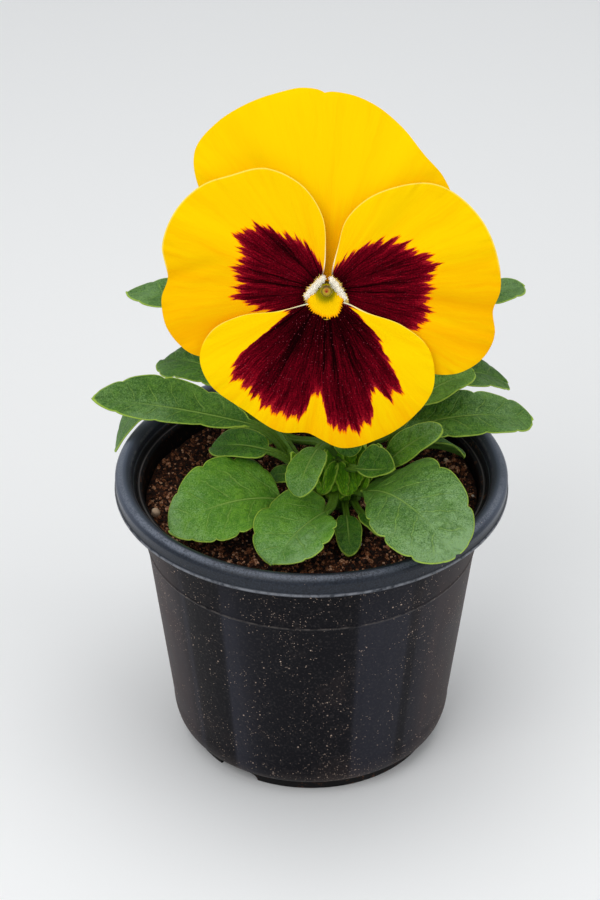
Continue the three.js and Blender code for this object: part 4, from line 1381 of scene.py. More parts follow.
@dataclass
class Stems:
    """The crown, its leafy stems and the bloom's stalk."""

    crown: tuple[float, float, float] = (8.0, -7.0, 74.0)
    radius: float = 3.1
    root_depth: float = 19.0
    root_tip: float = 1.4
    branches: tuple[tuple[tuple[Point, ...], float], ...] = (
        (((8, -7, 76), (8, -7, 84), (6.5, -5, 90), (6, -4, 98)), 2.0),
        (((7.5, -7, 77), (3, -8, 80), (-5, -5, 84), (-10.5, 1, 95)), 1.8),
        (((8.5, -7, 77), (13, -8, 80), (20, -5, 84), (25.5, 2, 95)), 1.8),
        (((8, -6.5, 78), (8, -3, 86), (8, 6, 88), (8, 11, 99)), 1.8),
    )
    stalk: tuple[Point, ...] = ((6, -4, 95), (8, 10, 118), (3.4, 9, 143), (3.4, -6.1, 141.9))
    stalk_radius: float = 1.35

    def fused(self, shape: Shape, name: str, cell: float) -> Mesh:
        """Fuse overlapping bodies into one skin.

        Args:
            shape: The bodies.
            name: The mesh's name.
            cell: Size of the skin's cells.

        Returns:
            The fused mesh.
        """
        body = stand(name, shape.mesh(name))
        fuse = body.modifiers.new("skin", "REMESH")
        fuse.mode, fuse.voxel_size, fuse.use_smooth_shade = "VOXEL", cell * MM, True
        ease = body.modifiers.new("ease", "SMOOTH")
        ease.factor, ease.iterations = 0.5, 4
        mesh = plain(body)
        mesh.shade_smooth()
        return mesh

    def build(self) -> None:
        """Make the stems and the stalk."""
        finish = StemGreen().material()
        x, y, level = self.crown
        z = np.linspace(level - self.root_depth, level + 5, 20)
        root = tube(xyz(x, y, z), np.linspace(self.root_tip, self.radius, 20), 24)
        for handles, radius in self.branches:
            path, _ = bezier(np.array(handles, float), np.linspace(0, 1, 40))
            joints = 1 + 0.1 * np.exp(-(((np.linspace(0, 1, 40) * 3) % 1 - 0.5) / 0.12) ** 2)
            root = root.joined(tube(path, radius * joints * np.linspace(1.05, 0.85, 40), 18))
        place(self.fused(root, "stems", 0.3), finish, ["stems"])
        path, _ = bezier(np.array(self.stalk, float), np.linspace(0.03, 1, 70))
        ribs = tube(path, self.stalk_radius * np.linspace(1.0, 0.9, 70), 24)
        place(ribs.mesh("stalk"), finish, ["flower_stalk"])


# ------------------------------------------------------------------------------------------ leaves


@dataclass(frozen=True)
class Edge:
    """A blade's outline.

    bulge above 0 is widest near the stalk and point sharpens both ends. lobes are how far each side runs back
    past the stalk, and halves are the sides' shares of the width, left first as seen from the stalk.
    """

    bulge: float
    point: float
    lobes: tuple[float, float]
    notches: int
    cut: float
    halves: tuple[float, float] = (1.0, 1.0)


class Outline(Enum):
    """The blades' outlines, some of them for one leaf alone."""

    ROUND = Edge(0.04, 0.66, (0.2, 0.2), 5, 0.09)
    OVAL = Edge(0.05, 0.9, (0.03, 0.03), 3, 0.05)
    LONG = Edge(-0.12, 1.2, (0.0, 0.0), 5, 0.1)
    FRONT_LEFT = Edge(0.28, 0.9, (-0.31, 0.04), 5, 0.09, (0.93, 1.18))
    FRONT = Edge(-0.03, 0.96, (-0.2, 0.5), 5, 0.09, (1.16, 1.02))
    FRONT_RIGHT = Edge(-0.17, 0.99, (0.3, -0.28), 5, 0.09, (1.0, 0.89))
    LEFT_LONG = Edge(-0.1, 1.3, (0.0, 0.0), 5, 0.1, (0.83, 1.11))
    CURLED = Edge(0.05, 0.9, (0.03, 0.03), 3, 0.05, (1.2, 0.55))
    STIPULE = Edge(-0.12, 0.7, (0.0, 0.0), 3, 0.14)


class Tone(Enum):
    """How a leaf is coloured, by its age and its place in the bush, and how much painted sheen it carries."""

    OUTER = "outer"
    PAINTED_SHEEN = "painted_sheen"
    BRIGHT = "bright"
    INNER = "inner"
    YOUNG = "young"
    SHEATH = "sheath"


@dataclass(frozen=True)
class Leaf:
    """One leaf: where its stalk starts, where its blade starts, its tip, and its form."""

    node: str
    outline: Outline
    stem: Point
    base: Point
    tip: Point
    width: float
    arch: float
    roll: float
    fold: float
    tone: Tone = Tone.OUTER
    thickness: float = 0.7
    stalk_depth: float = 1.5
    stalk_width: float = 2.3

    @property
    def large(self) -> bool:
        """Whether the leaf has coarse veins."""
        return self.width > LARGE_LEAF

    def edge(self, q: Array, side: int, length: float,
             half_stalk: float) -> tuple[Array, Array]:
        """Follow one side of the blade's outline.

        Args:
            q: Shares of the way from the stalk to the tip.
            side: 0 for the left side as seen from the stalk, 1 for the right.
            length: The blade's length.
            half_stalk: Half the stalk's width.

        Returns:
            Half the width there, and how far along the blade it lies.
        """
        form = self.outline.value
        angle = np.pi * q
        swell = np.maximum(np.sin(angle), 0) ** form.point * (1 + form.bulge * np.cos(angle))
        scallop = 1 - form.cut * (1 - np.abs(np.sin(np.pi * (form.notches + 0.5) * q))) ** 2.6
        back = form.lobes[side] * length * np.sin(angle) * (1 - q) ** 2
        along = length * (1 - np.cos(angle)) / 2 - back * 1.6
        half = self.width / 2 * form.halves[side]
        return np.maximum(half * swell * scallop, half_stalk * (1 - q) + 0.25 * q), along

    def shape(self) -> Shape:
        """Return the leaf's closed body with its veins pressed in."""
        stem, base, tip = (np.array(p, float) for p in (self.stem, self.base, self.tip))
        chord = tip - base
        length = float(np.linalg.norm(chord))
        ahead = chord / length
        up = unit(np.array([0, 0, 1.0]) - ahead * ahead[2])
        roll = math.radians(-self.roll)
        lift = up * math.cos(roll) + np.cross(ahead, up) * math.sin(roll)
        midrib = np.array([base, (base + tip) / 2 + lift * 2 * self.arch, tip])
        reach = float(np.linalg.norm(base - stem)) * 0.4
        out = unit(np.array([base[0] - stem[0], base[1] - stem[1], 0.0])) * 0.6
        first = midrib[1] - midrib[0]
        rise = stem + np.array([out[0], out[1], 0.8]) * reach
        stalk = np.array([stem, rise, base - unit(first) * reach, base])
        stalk_width = min(self.stalk_width, 0.9 + 0.1 * self.width)
        even = np.linspace(-1, 1, 31 if self.large else 21)
        places = np.sign(even) * np.abs(even) ** 1.25
        blade = self.blade(midrib, lift, length, stalk_width / 2, places)
        stem_rows = self.stalk_rows(stalk, lift, stalk_width, places)
        top, bottom, flat = (np.vstack([stem_rows[k], blade[k]]) for k in range(3))
        marks = {k: np.vstack([stem_rows[3][k], blade[3][k]]) for k in blade[3]}
        return slab(top, bottom, chart(flat), marks)

    def stalk_rows(self, stalk: Array, lift: Array, width: float,
                   places: Array) -> Rows:
        """Return the stalk's rows: a shallow channel above and a keel below.

        Args:
            stalk: Its curve's handles.
            lift: The blade's upward direction.
            width: The stalk's width.
            places: Where the columns lie, from -1 to 1.

        Returns:
            Upper points, lower points, the flat chart and the marks.
        """
        shares = np.linspace(1, 0, 18)[1:]
        centre, tangent = bezier(stalk, shares)
        top, bottom = [], []
        for c, t in zip(centre, tangent):
            lift = unit(lift - t * np.dot(lift, t))
            side = np.cross(t, lift)
            row = c + np.outer(places * width / 2, side)
            top.append(row + np.outer(self.thickness / 2 + 0.3 * places**2, lift))
            keel = -self.thickness / 2 - (self.stalk_depth - self.thickness) * (1 - places**2)
            bottom.append(row + np.outer(keel, lift))
        rows = len(shares)
        flat = np.zeros((rows, len(places), 2))
        flat[..., 0] = -30 * (1 - shares[::-1, None])
        flat[..., 1] = places * width / 2
        one = np.ones((rows, len(places)))
        marks = {"edge": one * 0, "margin": one * 9, "stalk": one, "along": one * 0}
        return np.array(top[::-1]), np.array(bottom[::-1]), flat, marks

    def blade(self, midrib: Array, normal: Array, length: float, half_stalk: float,
              places: Array) -> Rows:
        """Return the blade's rows.

        Args:
            midrib: Its curve's handles.
            normal: The blade's upward direction.
            length: Its length.
            half_stalk: Half the stalk's width.
            places: Where the columns lie, from -1 to 1.

        Returns:
            Upper points, lower points, the flat chart and the marks.
        """
        steps = (2 * self.outline.value.notches + 1) * 8
        q = np.minimum(np.arange(1, steps + 1) / steps, 0.985)[:, None]
        t = places[None, :]
        left, right = (self.edge(q, side, length, half_stalk) for side in (0, 1))
        across, along = (np.where(t < 0, a, b) for a, b in zip(left, right))
        share = q**1.15 * (1 - np.abs(t)) + along / length * np.abs(t)
        within = np.clip(share, 0, 1)
        centre, tangent = bezier(midrib, within)
        first = unit(midrib[1] - midrib[0])
        lift = unit(normal - tangent * (tangent @ normal)[..., None])
        side = np.cross(tangent, lift)
        x = t * across
        y = share * length
        wave = 0.03 * self.width * np.sin(9 * share + 2 * t) * t * t
        relief = self.relief(x, y, t)
        rise = self.fold * np.abs(x) + wave + relief
        thin = self.thickness / 2 * (1 - 0.62 * np.abs(t) ** 8)
        keel = (self.stalk_depth - self.thickness) * (1 - q) ** 1.5 * np.exp(-((x / 0.8) ** 2))
        ground = centre + side * x[..., None] + first * (length * (share - within))[..., None]
        top = ground + lift * (rise + thin)[..., None]
        bottom = ground + lift * (rise - thin - keel)[..., None]
        rim = across * (1 - np.abs(t))
        tip = (1 - q) * length
        marks = {"edge": np.abs(t) * np.ones_like(x), "margin": np.minimum(rim, tip),
                 "stalk": smooth(1.8, -1.2, y) * smooth(2.4, 0.9, np.abs(x)), "along": share}
        return top, bottom, np.stack([y, x], axis=-1), marks

    def relief(self, x: Array, y: Array, t: Array) -> Array:
        """Return the pressed-in veins and the soft swelling between them.

        Args:
            x: Distance from the midrib.
            y: Distance along it.
            t: The same as x, as a share of half the width.

        Returns:
            The heights.
        """
        run = (y - VEIN_LEAN * np.abs(x) + VEIN_BEND * x * x) / (COARSE_VEINS if self.large else FINE_VEINS)
        away = np.abs(run - np.floor(run) - 0.5)
        reach = smooth(0.3, 2.5, np.abs(x)) * smooth(1.0, 0.72, np.abs(t))
        groove = -0.1 * np.exp(-(((0.5 - away) / 0.09) ** 2)) * reach
        swell = 0.16 * np.cos(np.pi * away) ** 2 * reach
        rib = -0.22 * np.exp(-((x / 0.6) ** 2)) * smooth(1.0, 0.9, np.abs(t))
        drift = 0.4 * crumble(x + 60, y + 30, 5.5, len(self.node)) * smooth(0.1, 0.6, np.abs(t))
        return (groove + swell + rib + drift) * (1.0 if self.large else 0.6)


LEAVES = (
    Leaf("leaf_left_long", Outline.LEFT_LONG, (-5, -3.6, 86.8), (-16.1, -4.9, 99), (-57.75, 1.1, 102.9),
         14.8, 1.6, 22, 0.27),
    Leaf("leaf_left_behind", Outline.LONG, (-10.2, 0.6, 94), (-18, 8, 103.5), (-40.5, 26, 100), 18, 2.5, 10,
         0.12),
    Leaf("leaf_left_high", Outline.LONG, (6.6, 10.5, 97.5), (-18, 20, 117), (-50, 34, 116.5), 13, 2, 8, 0.12),
    Leaf("leaf_left_over_rim", Outline.OVAL, (-1, -5.5, 82.5), (-26, 19, 90.5), (-53.4, 18.5, 75.6), 12, 9.5,
         8, 0.05),
    Leaf("leaf_left_small", Outline.OVAL, (-2, -6.2, 83.6), (-11.6, -8.1, 92.9), (-26.4, -2.3, 89.8), 11,
         1.5, 15, 0.2, Tone.INNER),
    Leaf("leaf_front_left", Outline.FRONT_LEFT, (3, -9.5, 79), (-8.5, -16.9, 83.5), (-36.9, -26.7, 80.3), 23,
         5.1, 23, 0.09, Tone.BRIGHT),
    Leaf("leaf_front", Outline.FRONT, (6.2, -9.4, 80.4), (3.5, -23.2, 83.6), (-10.1, -41.2, 79.6), 22.2, 1.9,
         -4, 0.32, Tone.BRIGHT),
    Leaf("leaf_centre_hanging", Outline.OVAL, (6.5, -7, 91), (1.7, -14.5, 97.5), (-3.4, -25, 89.5), 10.5,
         1.5, -10, 0.1, Tone.BRIGHT),
    Leaf("leaf_centre_curled", Outline.CURLED, (9.6, -8.2, 86.5), (11.8, -15.5, 92), (21.7, -17, 93.5), 10,
         -1, -28, 0.45, Tone.INNER),
    Leaf("leaf_centre_facing", Outline.OVAL, (7.8, -6.5, 94), (9.8, -8, 101.8), (9.4, -12, 93.6), 8, 1, 0,
         0.15, Tone.INNER),
    Leaf("leaf_right_upright", Outline.OVAL, (15.5, -6.5, 81.6), (19.5, -11, 90.6), (34, -10, 101.2), 9.5,
         1.5, -20, 0.15, Tone.BRIGHT),
    Leaf("leaf_front_right", Outline.FRONT_RIGHT, (11.2, -8.4, 79.5), (13.8, -17.3, 86), (36.7, -47, 86.5),
         29, 7.4, -15, 0.08, Tone.PAINTED_SHEEN),
    Leaf("leaf_front_small", Outline.OVAL, (8.4, -10, 77.4), (9.2, -19, 79.5), (10, -33, 76.6), 7.2, 1, 0,
         0.12, Tone.INNER),
    Leaf("leaf_front_tucked", Outline.OVAL, (10.6, -9, 77.4), (13.5, -17, 79), (19, -25, 77.5), 6.5, 1, 0,
         0.1, Tone.INNER),
    Leaf("leaf_left_tucked", Outline.OVAL, (4.4, -7.4, 80), (-3, -6, 83.5), (-11.5, -5, 82.5), 6, 1, 20, 0.1,
         Tone.INNER),
    Leaf("leaf_right_low", Outline.OVAL, (20.1, -4.2, 85.4), (28, 1, 89), (40.8, -0.3, 86), 9, 1, 25, 0.35,
         Tone.INNER),
    Leaf("leaf_right_long", Outline.LONG, (19, -5, 84), (24, -4, 96.5), (58.5, 3, 95), 16.5, 4, -14, 0.14),
    Leaf("leaf_right_light", Outline.OVAL, (24.6, 0.9, 93), (27.3, 0.6, 102.6), (42.8, 6.5, 108), 10.5, 1.5,
         -12, 0.15, Tone.YOUNG),
    Leaf("leaf_right_behind", Outline.LONG, (25.6, 2.6, 95), (31, 14, 102), (53.2, 25, 93), 15, 3, -10, 0.12),
    Leaf("leaf_right_high", Outline.LONG, (9.4, 10.5, 97.5), (30, 20, 117), (57.5, 34, 118.5), 13, 2, -8,
         0.12),
    Leaf("leaf_rear", Outline.LONG, (8, 9, 94), (10, 19, 99.5), (13, 46, 96), 18, 4, 0, 0.12),
    Leaf("leaf_rear_left", Outline.LONG, (7, 6.2, 90), (-5, 18, 96), (-24, 41, 91), 17, 3, 6, 0.12),
    Leaf("leaf_rear_right", Outline.LONG, (9.3, 6, 89.6), (22, 17, 96), (41, 38, 90), 17, 3, -6, 0.12),
    Leaf("leaf_rear_low_left", Outline.ROUND, (6.8, 0, 85.6), (-9, 13.5, 85), (-30, 31, 84), 17, 3, 8, 0.08,
         Tone.BRIGHT),
    Leaf("leaf_rear_low_right", Outline.ROUND, (9.2, 0.5, 86), (21, 11, 86), (37, 27, 84.5), 18, 2, -8, 0.08,
         Tone.BRIGHT),
    Leaf("leaf_rear_low", Outline.ROUND, (8, 1, 85.6), (8, 14, 85), (5, 37, 82.5), 19, 3, 0, 0.08,
         Tone.BRIGHT),
)


# The leafy lobes that sheathe the stalks at the crown: base, tip and width.
STIPULES = (
    ((10.8, -10.0, 82.6), (12.4, -7.3, 95.6), 7.4),
    ((8.4, -10.6, 82.6), (9.0, -7.4, 95.2), 6.4),
    ((5.8, -10.8, 80.6), (6.2, -7.6, 94.6), 5.4),
    ((6.4, -9.4, 90.6), (2.2, -12.8, 82.2), 6.4),
    ((6.9, -9.8, 91.0), (6.2, -13.8, 81.4), 7.0),
    ((7.5, -9.6, 90.6), (10.4, -13.0, 82.2), 6.4),
    ((13.4, -9.2, 82.2), (18.2, -7.0, 94.0), 6.2),
    ((12.0, -10.8, 80.6), (15.0, -9.2, 90.6), 5.4),
    ((6.2, -10.2, 77.8), (1.8, -8.4, 89.4), 5.4),
    ((-1.6, -8.0, 81.0), (-5.4, -6.2, 91.0), 5.0),
    ((14.0, -8.4, 80.0), (20.4, -5.6, 90.4), 5.2),
    ((7.4, -4.2, 78.6), (4.0, -1.0, 90.0), 5.4),
    ((10.4, -4.0, 78.6), (13.6, -0.6, 90.6), 5.4),
    ((8.6, -3.4, 86.0), (8.0, 1.0, 96.0), 4.6),
    ((8.0, -11.5, 77.2), (7.7, -10.4, 86.0), 5.6),
)


@dataclass
class Foliage:
    """All the leaves."""

    leaves: tuple[Leaf, ...] = LEAVES

    def finishes(self) -> dict[tuple[Tone, bool], Material]:
        """Return the finish of each tone, for large and for small leaves."""
        # The sheen share is how much painted sheen each tone carries.
        looks = {
            Tone.OUTER: LeafGreen(deep=(0.026, 0.108, 0.002), bright=(0.082, 0.21, 0.01), sheen_share=0.64),
            Tone.PAINTED_SHEEN: LeafGreen(deep=(0.03, 0.115, 0.003), bright=(0.09, 0.225, 0.016), sheen_share=1.0,
                                 drift=0.7),
            Tone.BRIGHT: LeafGreen(deep=(0.05, 0.18, 0.002), bright=(0.12, 0.295, 0.011), sheen_share=0.9),
            Tone.INNER: LeafGreen(deep=(0.022, 0.11, 0.001), bright=(0.07, 0.21, 0.003), sheen_share=0.16),
            Tone.YOUNG: LeafGreen(deep=(0.07, 0.19, 0.006), bright=(0.135, 0.3, 0.02), sheen_share=0.25),
            Tone.SHEATH: LeafGreen(deep=(0.08, 0.28, 0.001), bright=(0.27, 0.6, 0.008), sheen_share=0.0,
                                   vein=(0.3, 0.6, 0.02), margin=(0.42, 0.66, 0.06), ribbed=0.85),
        }
        made = {}
        for tone, look in looks.items():
            for large in (True, False):
                name = f"leaf_{tone.value}_{'large' if large else 'small'}"
                look = replace(look, name=name, spacing=COARSE_VEINS if large else FINE_VEINS)
                made[(tone, large)] = look.material()
        return made

    def build(self) -> None:
        """Make every leaf."""
        finishes = self.finishes()
        for leaf in self.leaves:
            mesh = leaf.shape().mesh(leaf.node)
            place(mesh, finishes[(leaf.tone, leaf.large)], [leaf.node])
        lobes = []
        for i, (base, tip, width) in enumerate(STIPULES):
            foot = (base[0], base[1], base[2] - 1.2)
            roll = 8.0 * (-1) ** i
            lobe = Leaf(f"stipule_{i}", Outline.STIPULE, foot, base, tip, width, -0.6, roll, 0.16)
            lobes.append(lobe.shape())
        mesh = reduce(Shape.joined, lobes).mesh("stipules")
        place(mesh, finishes[(Tone.SHEATH, False)], [], "stipules")


# ------------------------------------------------------------------------------------------ bloom


@dataclass(frozen=True)
class Petal:
    """One petal: its layer, the point that its rings spread from, its outline, and its folds.

    A fold runs between two points in the bloom's plane and has a width and a height. weave is how far the
    petal comes forward from the bloom's left to its right, where two petals lie in each other.
    """

    node: str
    layer: float
    hub: tuple[float, float]
    outline: Knots
    paint: PetalPaint
    folds: tuple[tuple[float, float, float, float, float, float], ...] = ()
    weave: float = 0.0
    thickness: float = 0.42

    def relief(self, x: Array, y: Array) -> Array:
        """Return how far the petal's middle stands in front of the bloom's plane."""
        radius, angle = np.hypot(x, y), np.arctan2(y, x)
        ruffle = 0.45 * smooth(6, 34, radius) * (np.sin(7 * angle + 0.6) + 0.5 * np.sin(13 * angle + 2.1))
        total = self.layer + self.weave * smooth(-6, 4, x) * 2 - self.weave - 0.0016 * radius**2 + ruffle
        for x0, y0, x1, y1, width, height in self.folds:
            run = np.array([x1 - x0, y1 - y0])
            share = np.clip(((x - x0) * run[0] + (y - y0) * run[1]) / (run @ run), 0, 1)
            away = np.hypot(x - x0 - share * run[0], y - y0 - share * run[1])
            total = total + height * smooth(0, 0.5, share) * np.exp(-((away / width) ** 2))
        return total

    def shape(self, edge_count: int = 300, ring_count: int = 30) -> Shape:
        """Return the petal's closed body in the bloom's frame.

        Args:
            edge_count: Points round its edge.
            ring_count: Rings from the hub to the edge.

        Returns:
            The shape, with a mark "rim" of millimetres from the edge.
        """
        edge = rounded_loop(self.outline, edge_count)
        hub = np.array(self.hub)
        share = np.concatenate([np.linspace(0.04, 0.96, ring_count - 4), [0.978, 0.99, 0.996, 1.0]])
        spoke = edge - hub
        length = np.linalg.norm(spoke, axis=1)
        wave = crumble(np.arange(edge_count) * 0.31, np.zeros(edge_count), 1.0, len(self.node))
        if self.paint.outer:
            frill = 0.22 * wave * smooth(16, 30, np.hypot(*edge.T))
        else:
            frill = 0.22 * wave * 0.6 * smooth(8, 14, np.abs(edge[:, 0]))
        flat = hub + share[:, None, None] * spoke[None]
        rim = (1 - share)[:, None] * length[None]
        x, y = flat[..., 0], flat[..., 1]
        middle = self.relief(x, y) + frill[None] * smooth(5, 0, rim)
        half = self.thickness / 2 * (0.45 + 0.55 * smooth(0, 1.4, rim))
        front, back = xyz(x, y, middle + half), xyz(x, y, middle - half)[::-1]
        level = float(self.relief(*hub))
        ends = [(*hub, level + self.thickness / 2), (*hub, level - self.thickness / 2)]
        shape = skin(np.concatenate([front, back]), ends).charted()
        shape.marks = {"rim": np.concatenate([rim.ravel(), rim[::-1].ravel(), [99.0, 99.0]]),
                       "front": np.repeat([1.0, 0.0, 1.0, 0.0], [rim.size, rim.size, 1, 1])}
        return shape


# The upper petals lie on each other, so they share their folds.
UPPER_FOLDS = ((8, 16, 22, 36, 3.0, 0.45), (4, 18, 8, 44, 2.6, -0.3), (12, 14, 28, 26, 2.6, -0.35),
               (-4, 14, -9, 46, 3.2, 0.45), (-8, 16, -24, 38, 3.0, -0.5), (-12, 14, -30, 30, 2.6, 0.4))
PETALS = (
    Petal("petal_upper_right", -3.6, (3, 7),
          ((0.2, 2.05), (-5, 14), (-8, 27.5), (-7, 40), (-1, 48.2), (5, 48.3), (12, 45.6), (19, 40),
           (24.4, 33.4), (29.4, 27.6), (31.4, 21.6), (26, 13), (13, 6), (3, 2.2)), UPPER, UPPER_FOLDS,
          0.13),
    Petal("petal_upper_left", -3.6, (-2, 7),
          ((0.2, 2.05), (3, 12), (5.5, 25.6), (5, 37.4), (0, 48.2), (-5.5, 49.7), (-12, 48.5), (-19.4, 45.9),
           (-27, 41.2), (-32.4, 34.8), (-32.6, 28.2), (-28, 18.6), (-15, 8), (-2.6, 2.2)), UPPER, UPPER_FOLDS,
          -0.13),
    Petal("petal_side_left", 0.0, (-6, 3),
          ((-1.7, 1.5), (-0.5, 4.6), (0, 10), (-0.8, 18.4), (-6, 26.2), (-14.9, 30.3), (-24, 28.4),
           (-31, 25.8), (-37.4, 19.6), (-40.7, 11), (-39.4, 2.8), (-41, -2.6), (-39.3, -10.4), (-33, -16.4),
           (-24, -16), (-14, -9), (-3.6, -3.4), (-2.8, -0.6)), SIDE_LEFT,
          folds=((-24, 8, -40, 2.6, 1.5, -0.9), (-14, 4, -40, -8, 3.4, 0.6), (-8, 10, -22, 28, 3.6, 0.55),
                 (-12, 9, -38, 18, 3.0, 0.5))),
    Petal("petal_side_right", 0.1, (6, 3),
          ((1.7, 1.5), (1.5, 4.6), (3, 11), (5, 17.6), (10.5, 23), (19, 26.2), (27, 26.4), (33.5, 23),
           (39.5, 16.4), (43, 7.6), (43.6, 0), (41.9, -5.4), (42.4, -11.6), (39.6, -17.2), (32, -21.2),
           (23, -19.6), (14, -10), (3.6, -3.4), (2.8, -0.6)), SIDE_RIGHT,
          folds=((14, 0, 42, -5.4, 2.0, -0.7), (12, 6, 40, 12, 3.4, 0.55), (14, -4, 36, -18, 3.0, 0.55),
                 (10, 8, 24, 25, 3.2, -0.45), (20, -8, 41, -13, 1.6, 0.45))),
    Petal("petal_lip", 2.0, (0.5, -8),
          ((-1.8, -2.1), (-5, -3), (-12, -4.9), (-21, -6.1), (-28.4, -10), (-31.4, -16.6), (-28.8, -23.6),
           (-20.6, -30), (-11.4, -35.6), (-4.4, -36), (4.5, -39.8), (13, -37.8), (21.6, -32.2), (27, -24.4),
           (25.8, -14.4), (19, -8.4), (10.4, -5.2), (5.4, -2.8), (2.2, -2.1)), LIP,
          folds=((0, -14, -4, -36, 2.2, -0.6), (-6, -14, -22, -28, 3.6, 0.55), (6, -14, 16, -34, 3.6, 0.55),
                 (6, -10, 24, -14, 3.0, -0.4), (-8, -10, -28, -16, 3.0, -0.4))),
)


@dataclass(frozen=True)
class Beard:
    """A strip of short hairs beside the throat: its pad's size, lean and place in the bloom's plane."""

    node: str
    length: float
    lean: float
    at: tuple[float, float]
    seed: int
    width: float = 1.25
    depth: float = 0.75
    lift: float = 1.6


BEARDS = (Beard("beard_left", 7.3, -42.0, (-2.6, 1.1), 39), Beard("beard_right", 6.7, 35.0, (3.0, 0.7), 41))


@dataclass
class Bloom:
    """The flower: petals, calyx, stamens, stigma and beards."""

    centre: tuple[float, float, float] = (3.4, -16.0, 145.2)
    tilt: float = 22.0
    petals: tuple[Petal, ...] = PETALS
    spur: tuple[Point, ...] = ((0.2, -5.6, 2), (0.2, -6.6, -6), (0.2, -5.2, -12.5))
    spur_radius: float = 1.4
    sepals: int = 5
    sepal_length: float = 15.0
    sepal_width: float = 3.6
    sepal_ear: float = 2.0
    column_radius: float = 1.6
    stigma_radius: float = 1.5
    stigma_height: float = 3.6

    def standing(self, shape: Shape) -> Shape:
        """Turn a shape from the bloom's frame into the plant's, and return it."""
        x, y, z = shape.points.T
        shape.points = xyz(x, *rotated(y, z, 90 - self.tilt)) + np.array(self.centre)
        return shape

    def build(self) -> None:
        """Make every piece of the bloom."""
        for petal in self.petals:
            shape = petal.shape()
            if petal.node == "petal_lip":
                shape = shape.joined(self.spur_shape()).joined(self.tongue())
            place(self.standing(shape).mesh(petal.node), petal.paint.material(), [petal.node])
        green = StemGreen(light=(0.16, 0.32, 0.05), dark=(0.06, 0.17, 0.02)).material()
        place(self.standing(self.calyx()).mesh("calyx"), green, ["calyx"])
        self.throat()
        for beard in BEARDS:
            self.beard(beard)

    def spur_shape(self) -> Shape:
        """Return the lip's blunt spur."""
        path, tangent = bezier(np.array(self.spur, float), np.linspace(0, 1, 30))
        cap = np.linspace(0, np.pi / 2, 9)[1:]
        r = self.spur_radius
        path = np.vstack([path, path[-1] + np.outer(np.sin(cap) * r, tangent[-1])])
        radius = np.concatenate([np.full(30, r), np.maximum(np.cos(cap) * r, 0.02)])
        shape = tube(path, radius, 20).charted()
        shape.marks = {"rim": np.full(len(shape.points), 9.0), "front": np.zeros(len(shape.points))}
        return shape

    def tongue(self) -> Shape:
        """Return the part of the lip that closes the throat under the stigma."""
        up = np.linspace(0, 1, 16)[:, None]
        t = np.linspace(-1, 1, 25)[None]
        half = 4.5 - 3.1 * smooth(0.3, 1.0, up)
        y = -4.1 + 6.0 * up + 0.25 * (1 - t * t) * (1 - up)
        x = -0.1 + 0.3 * up + t * half
        bulge = 0.42 * np.sin(np.pi * np.clip(up * 1.35, 0, 1))
        z = 1.98 + bulge - 0.25 * up - (0.25 + 0.35 * up) * t * t
        grid = xyz(x, y, z)
        lift = np.array([0, 0, 0.12])
        marks = {"rim": np.full(x.shape, 9.0), "front": np.ones(x.shape)}
        return slab(grid + lift, grid - lift, chart(grid), marks)

    def calyx(self) -> Shape:
        """Return the receptacle and the sepals."""
        profile = filleted([(0, -9.6, 0), (1.7, -9.3, 0.6), (2.6, -8, 0.8), (2.8, -6.4, 0.8),
                            (2.6, -4.75, 0.3), (0, -4.75, 0)])
        shape = turned(profile, 40).charted()
        share = np.linspace(0, 1, 40)[:, None]
        t = np.linspace(-1, 1, 13)[None]
        along = -self.sepal_ear + (self.sepal_length + self.sepal_ear) * share
        half = self.sepal_width / 2 * np.sin(np.pi * (0.16 + 0.81 * share)) ** 0.8
        bend = np.where(along < 0, 0.9 * along, -0.012 * along**2)
        z = -6.2 + bend - 0.5 * t * t - 0.1 * np.exp(-((t / 0.2) ** 2))
        up = np.array([0, 0, 0.28])
        for i in range(self.sepals):
            x, y = rotated(2.2 + along, t * half, 90 + 360 / self.sepals * i)
            grid = xyz(x, y, z)
            shape = shape.joined(slab(grid + up, grid - up, chart(grid), {}))
        return shape

    def throat(self) -> None:
        """Make the stamens' cone and the round stigma that looks out of it."""
        r = self.column_radius
        cone = turned(filleted([(0, -4.4, 0), (r, -4.4, 0.1), (r, 0.6, 0.3), (r - 0.3, 1.5, 0.4),
                                (r - 0.9, 1.8, 0.2), (0, 1.8, 0)]), 48)
        angle = np.arctan2(cone.points[:, 1], cone.points[:, 0])
        cone.points[:, :2] *= (1 + 0.05 * np.cos(5 * angle))[:, None] * 0.97
        p = Paint("stamens")
        where = p.place()
        base = p.mixed(p.noise(where, 900, 3), (0.2, 0.19, 0.008), (0.5, 0.3, 0.01))
        finish = p.finish(base, 0.5, relief=p.noise(where, 1800, 2))
        place(self.standing(cone).mesh("stamens"), finish, ["stamens"])
        head = self.stigma_shape()
        p = Paint("stigma")
        across, up = p.chart()
        away = (across * across + up * up) ** 0.5
        spot = p.step(away, 0.36, 0.16)
        blush = p.step((across * across + (up - 0.35) * (up - 0.35)) ** 0.5, 0.95, 0.2)
        ring = p.step(away, 0.95, 1.1) * p.step(away, 1.42, 1.25)
        # A painted shadow over the stigma's top, under the overhanging throat.
        top = p.step(up, 0.55, 1.35)
        base = p.coated((0.42, 0.29, 0.006), (ring * 0.8, (0.13, 0.13, 0.003)),
                        (blush * 0.75, (0.42, 0.08, 0.006)), (top * 0.85, (0.05, 0.014, 0.004)),
                        (spot, (0.36, 0.012, 0.006)))
        finish = p.finish(base, 0.45, 0.3)
        place(self.standing(head).mesh("stigma"), finish, ["stigma"])

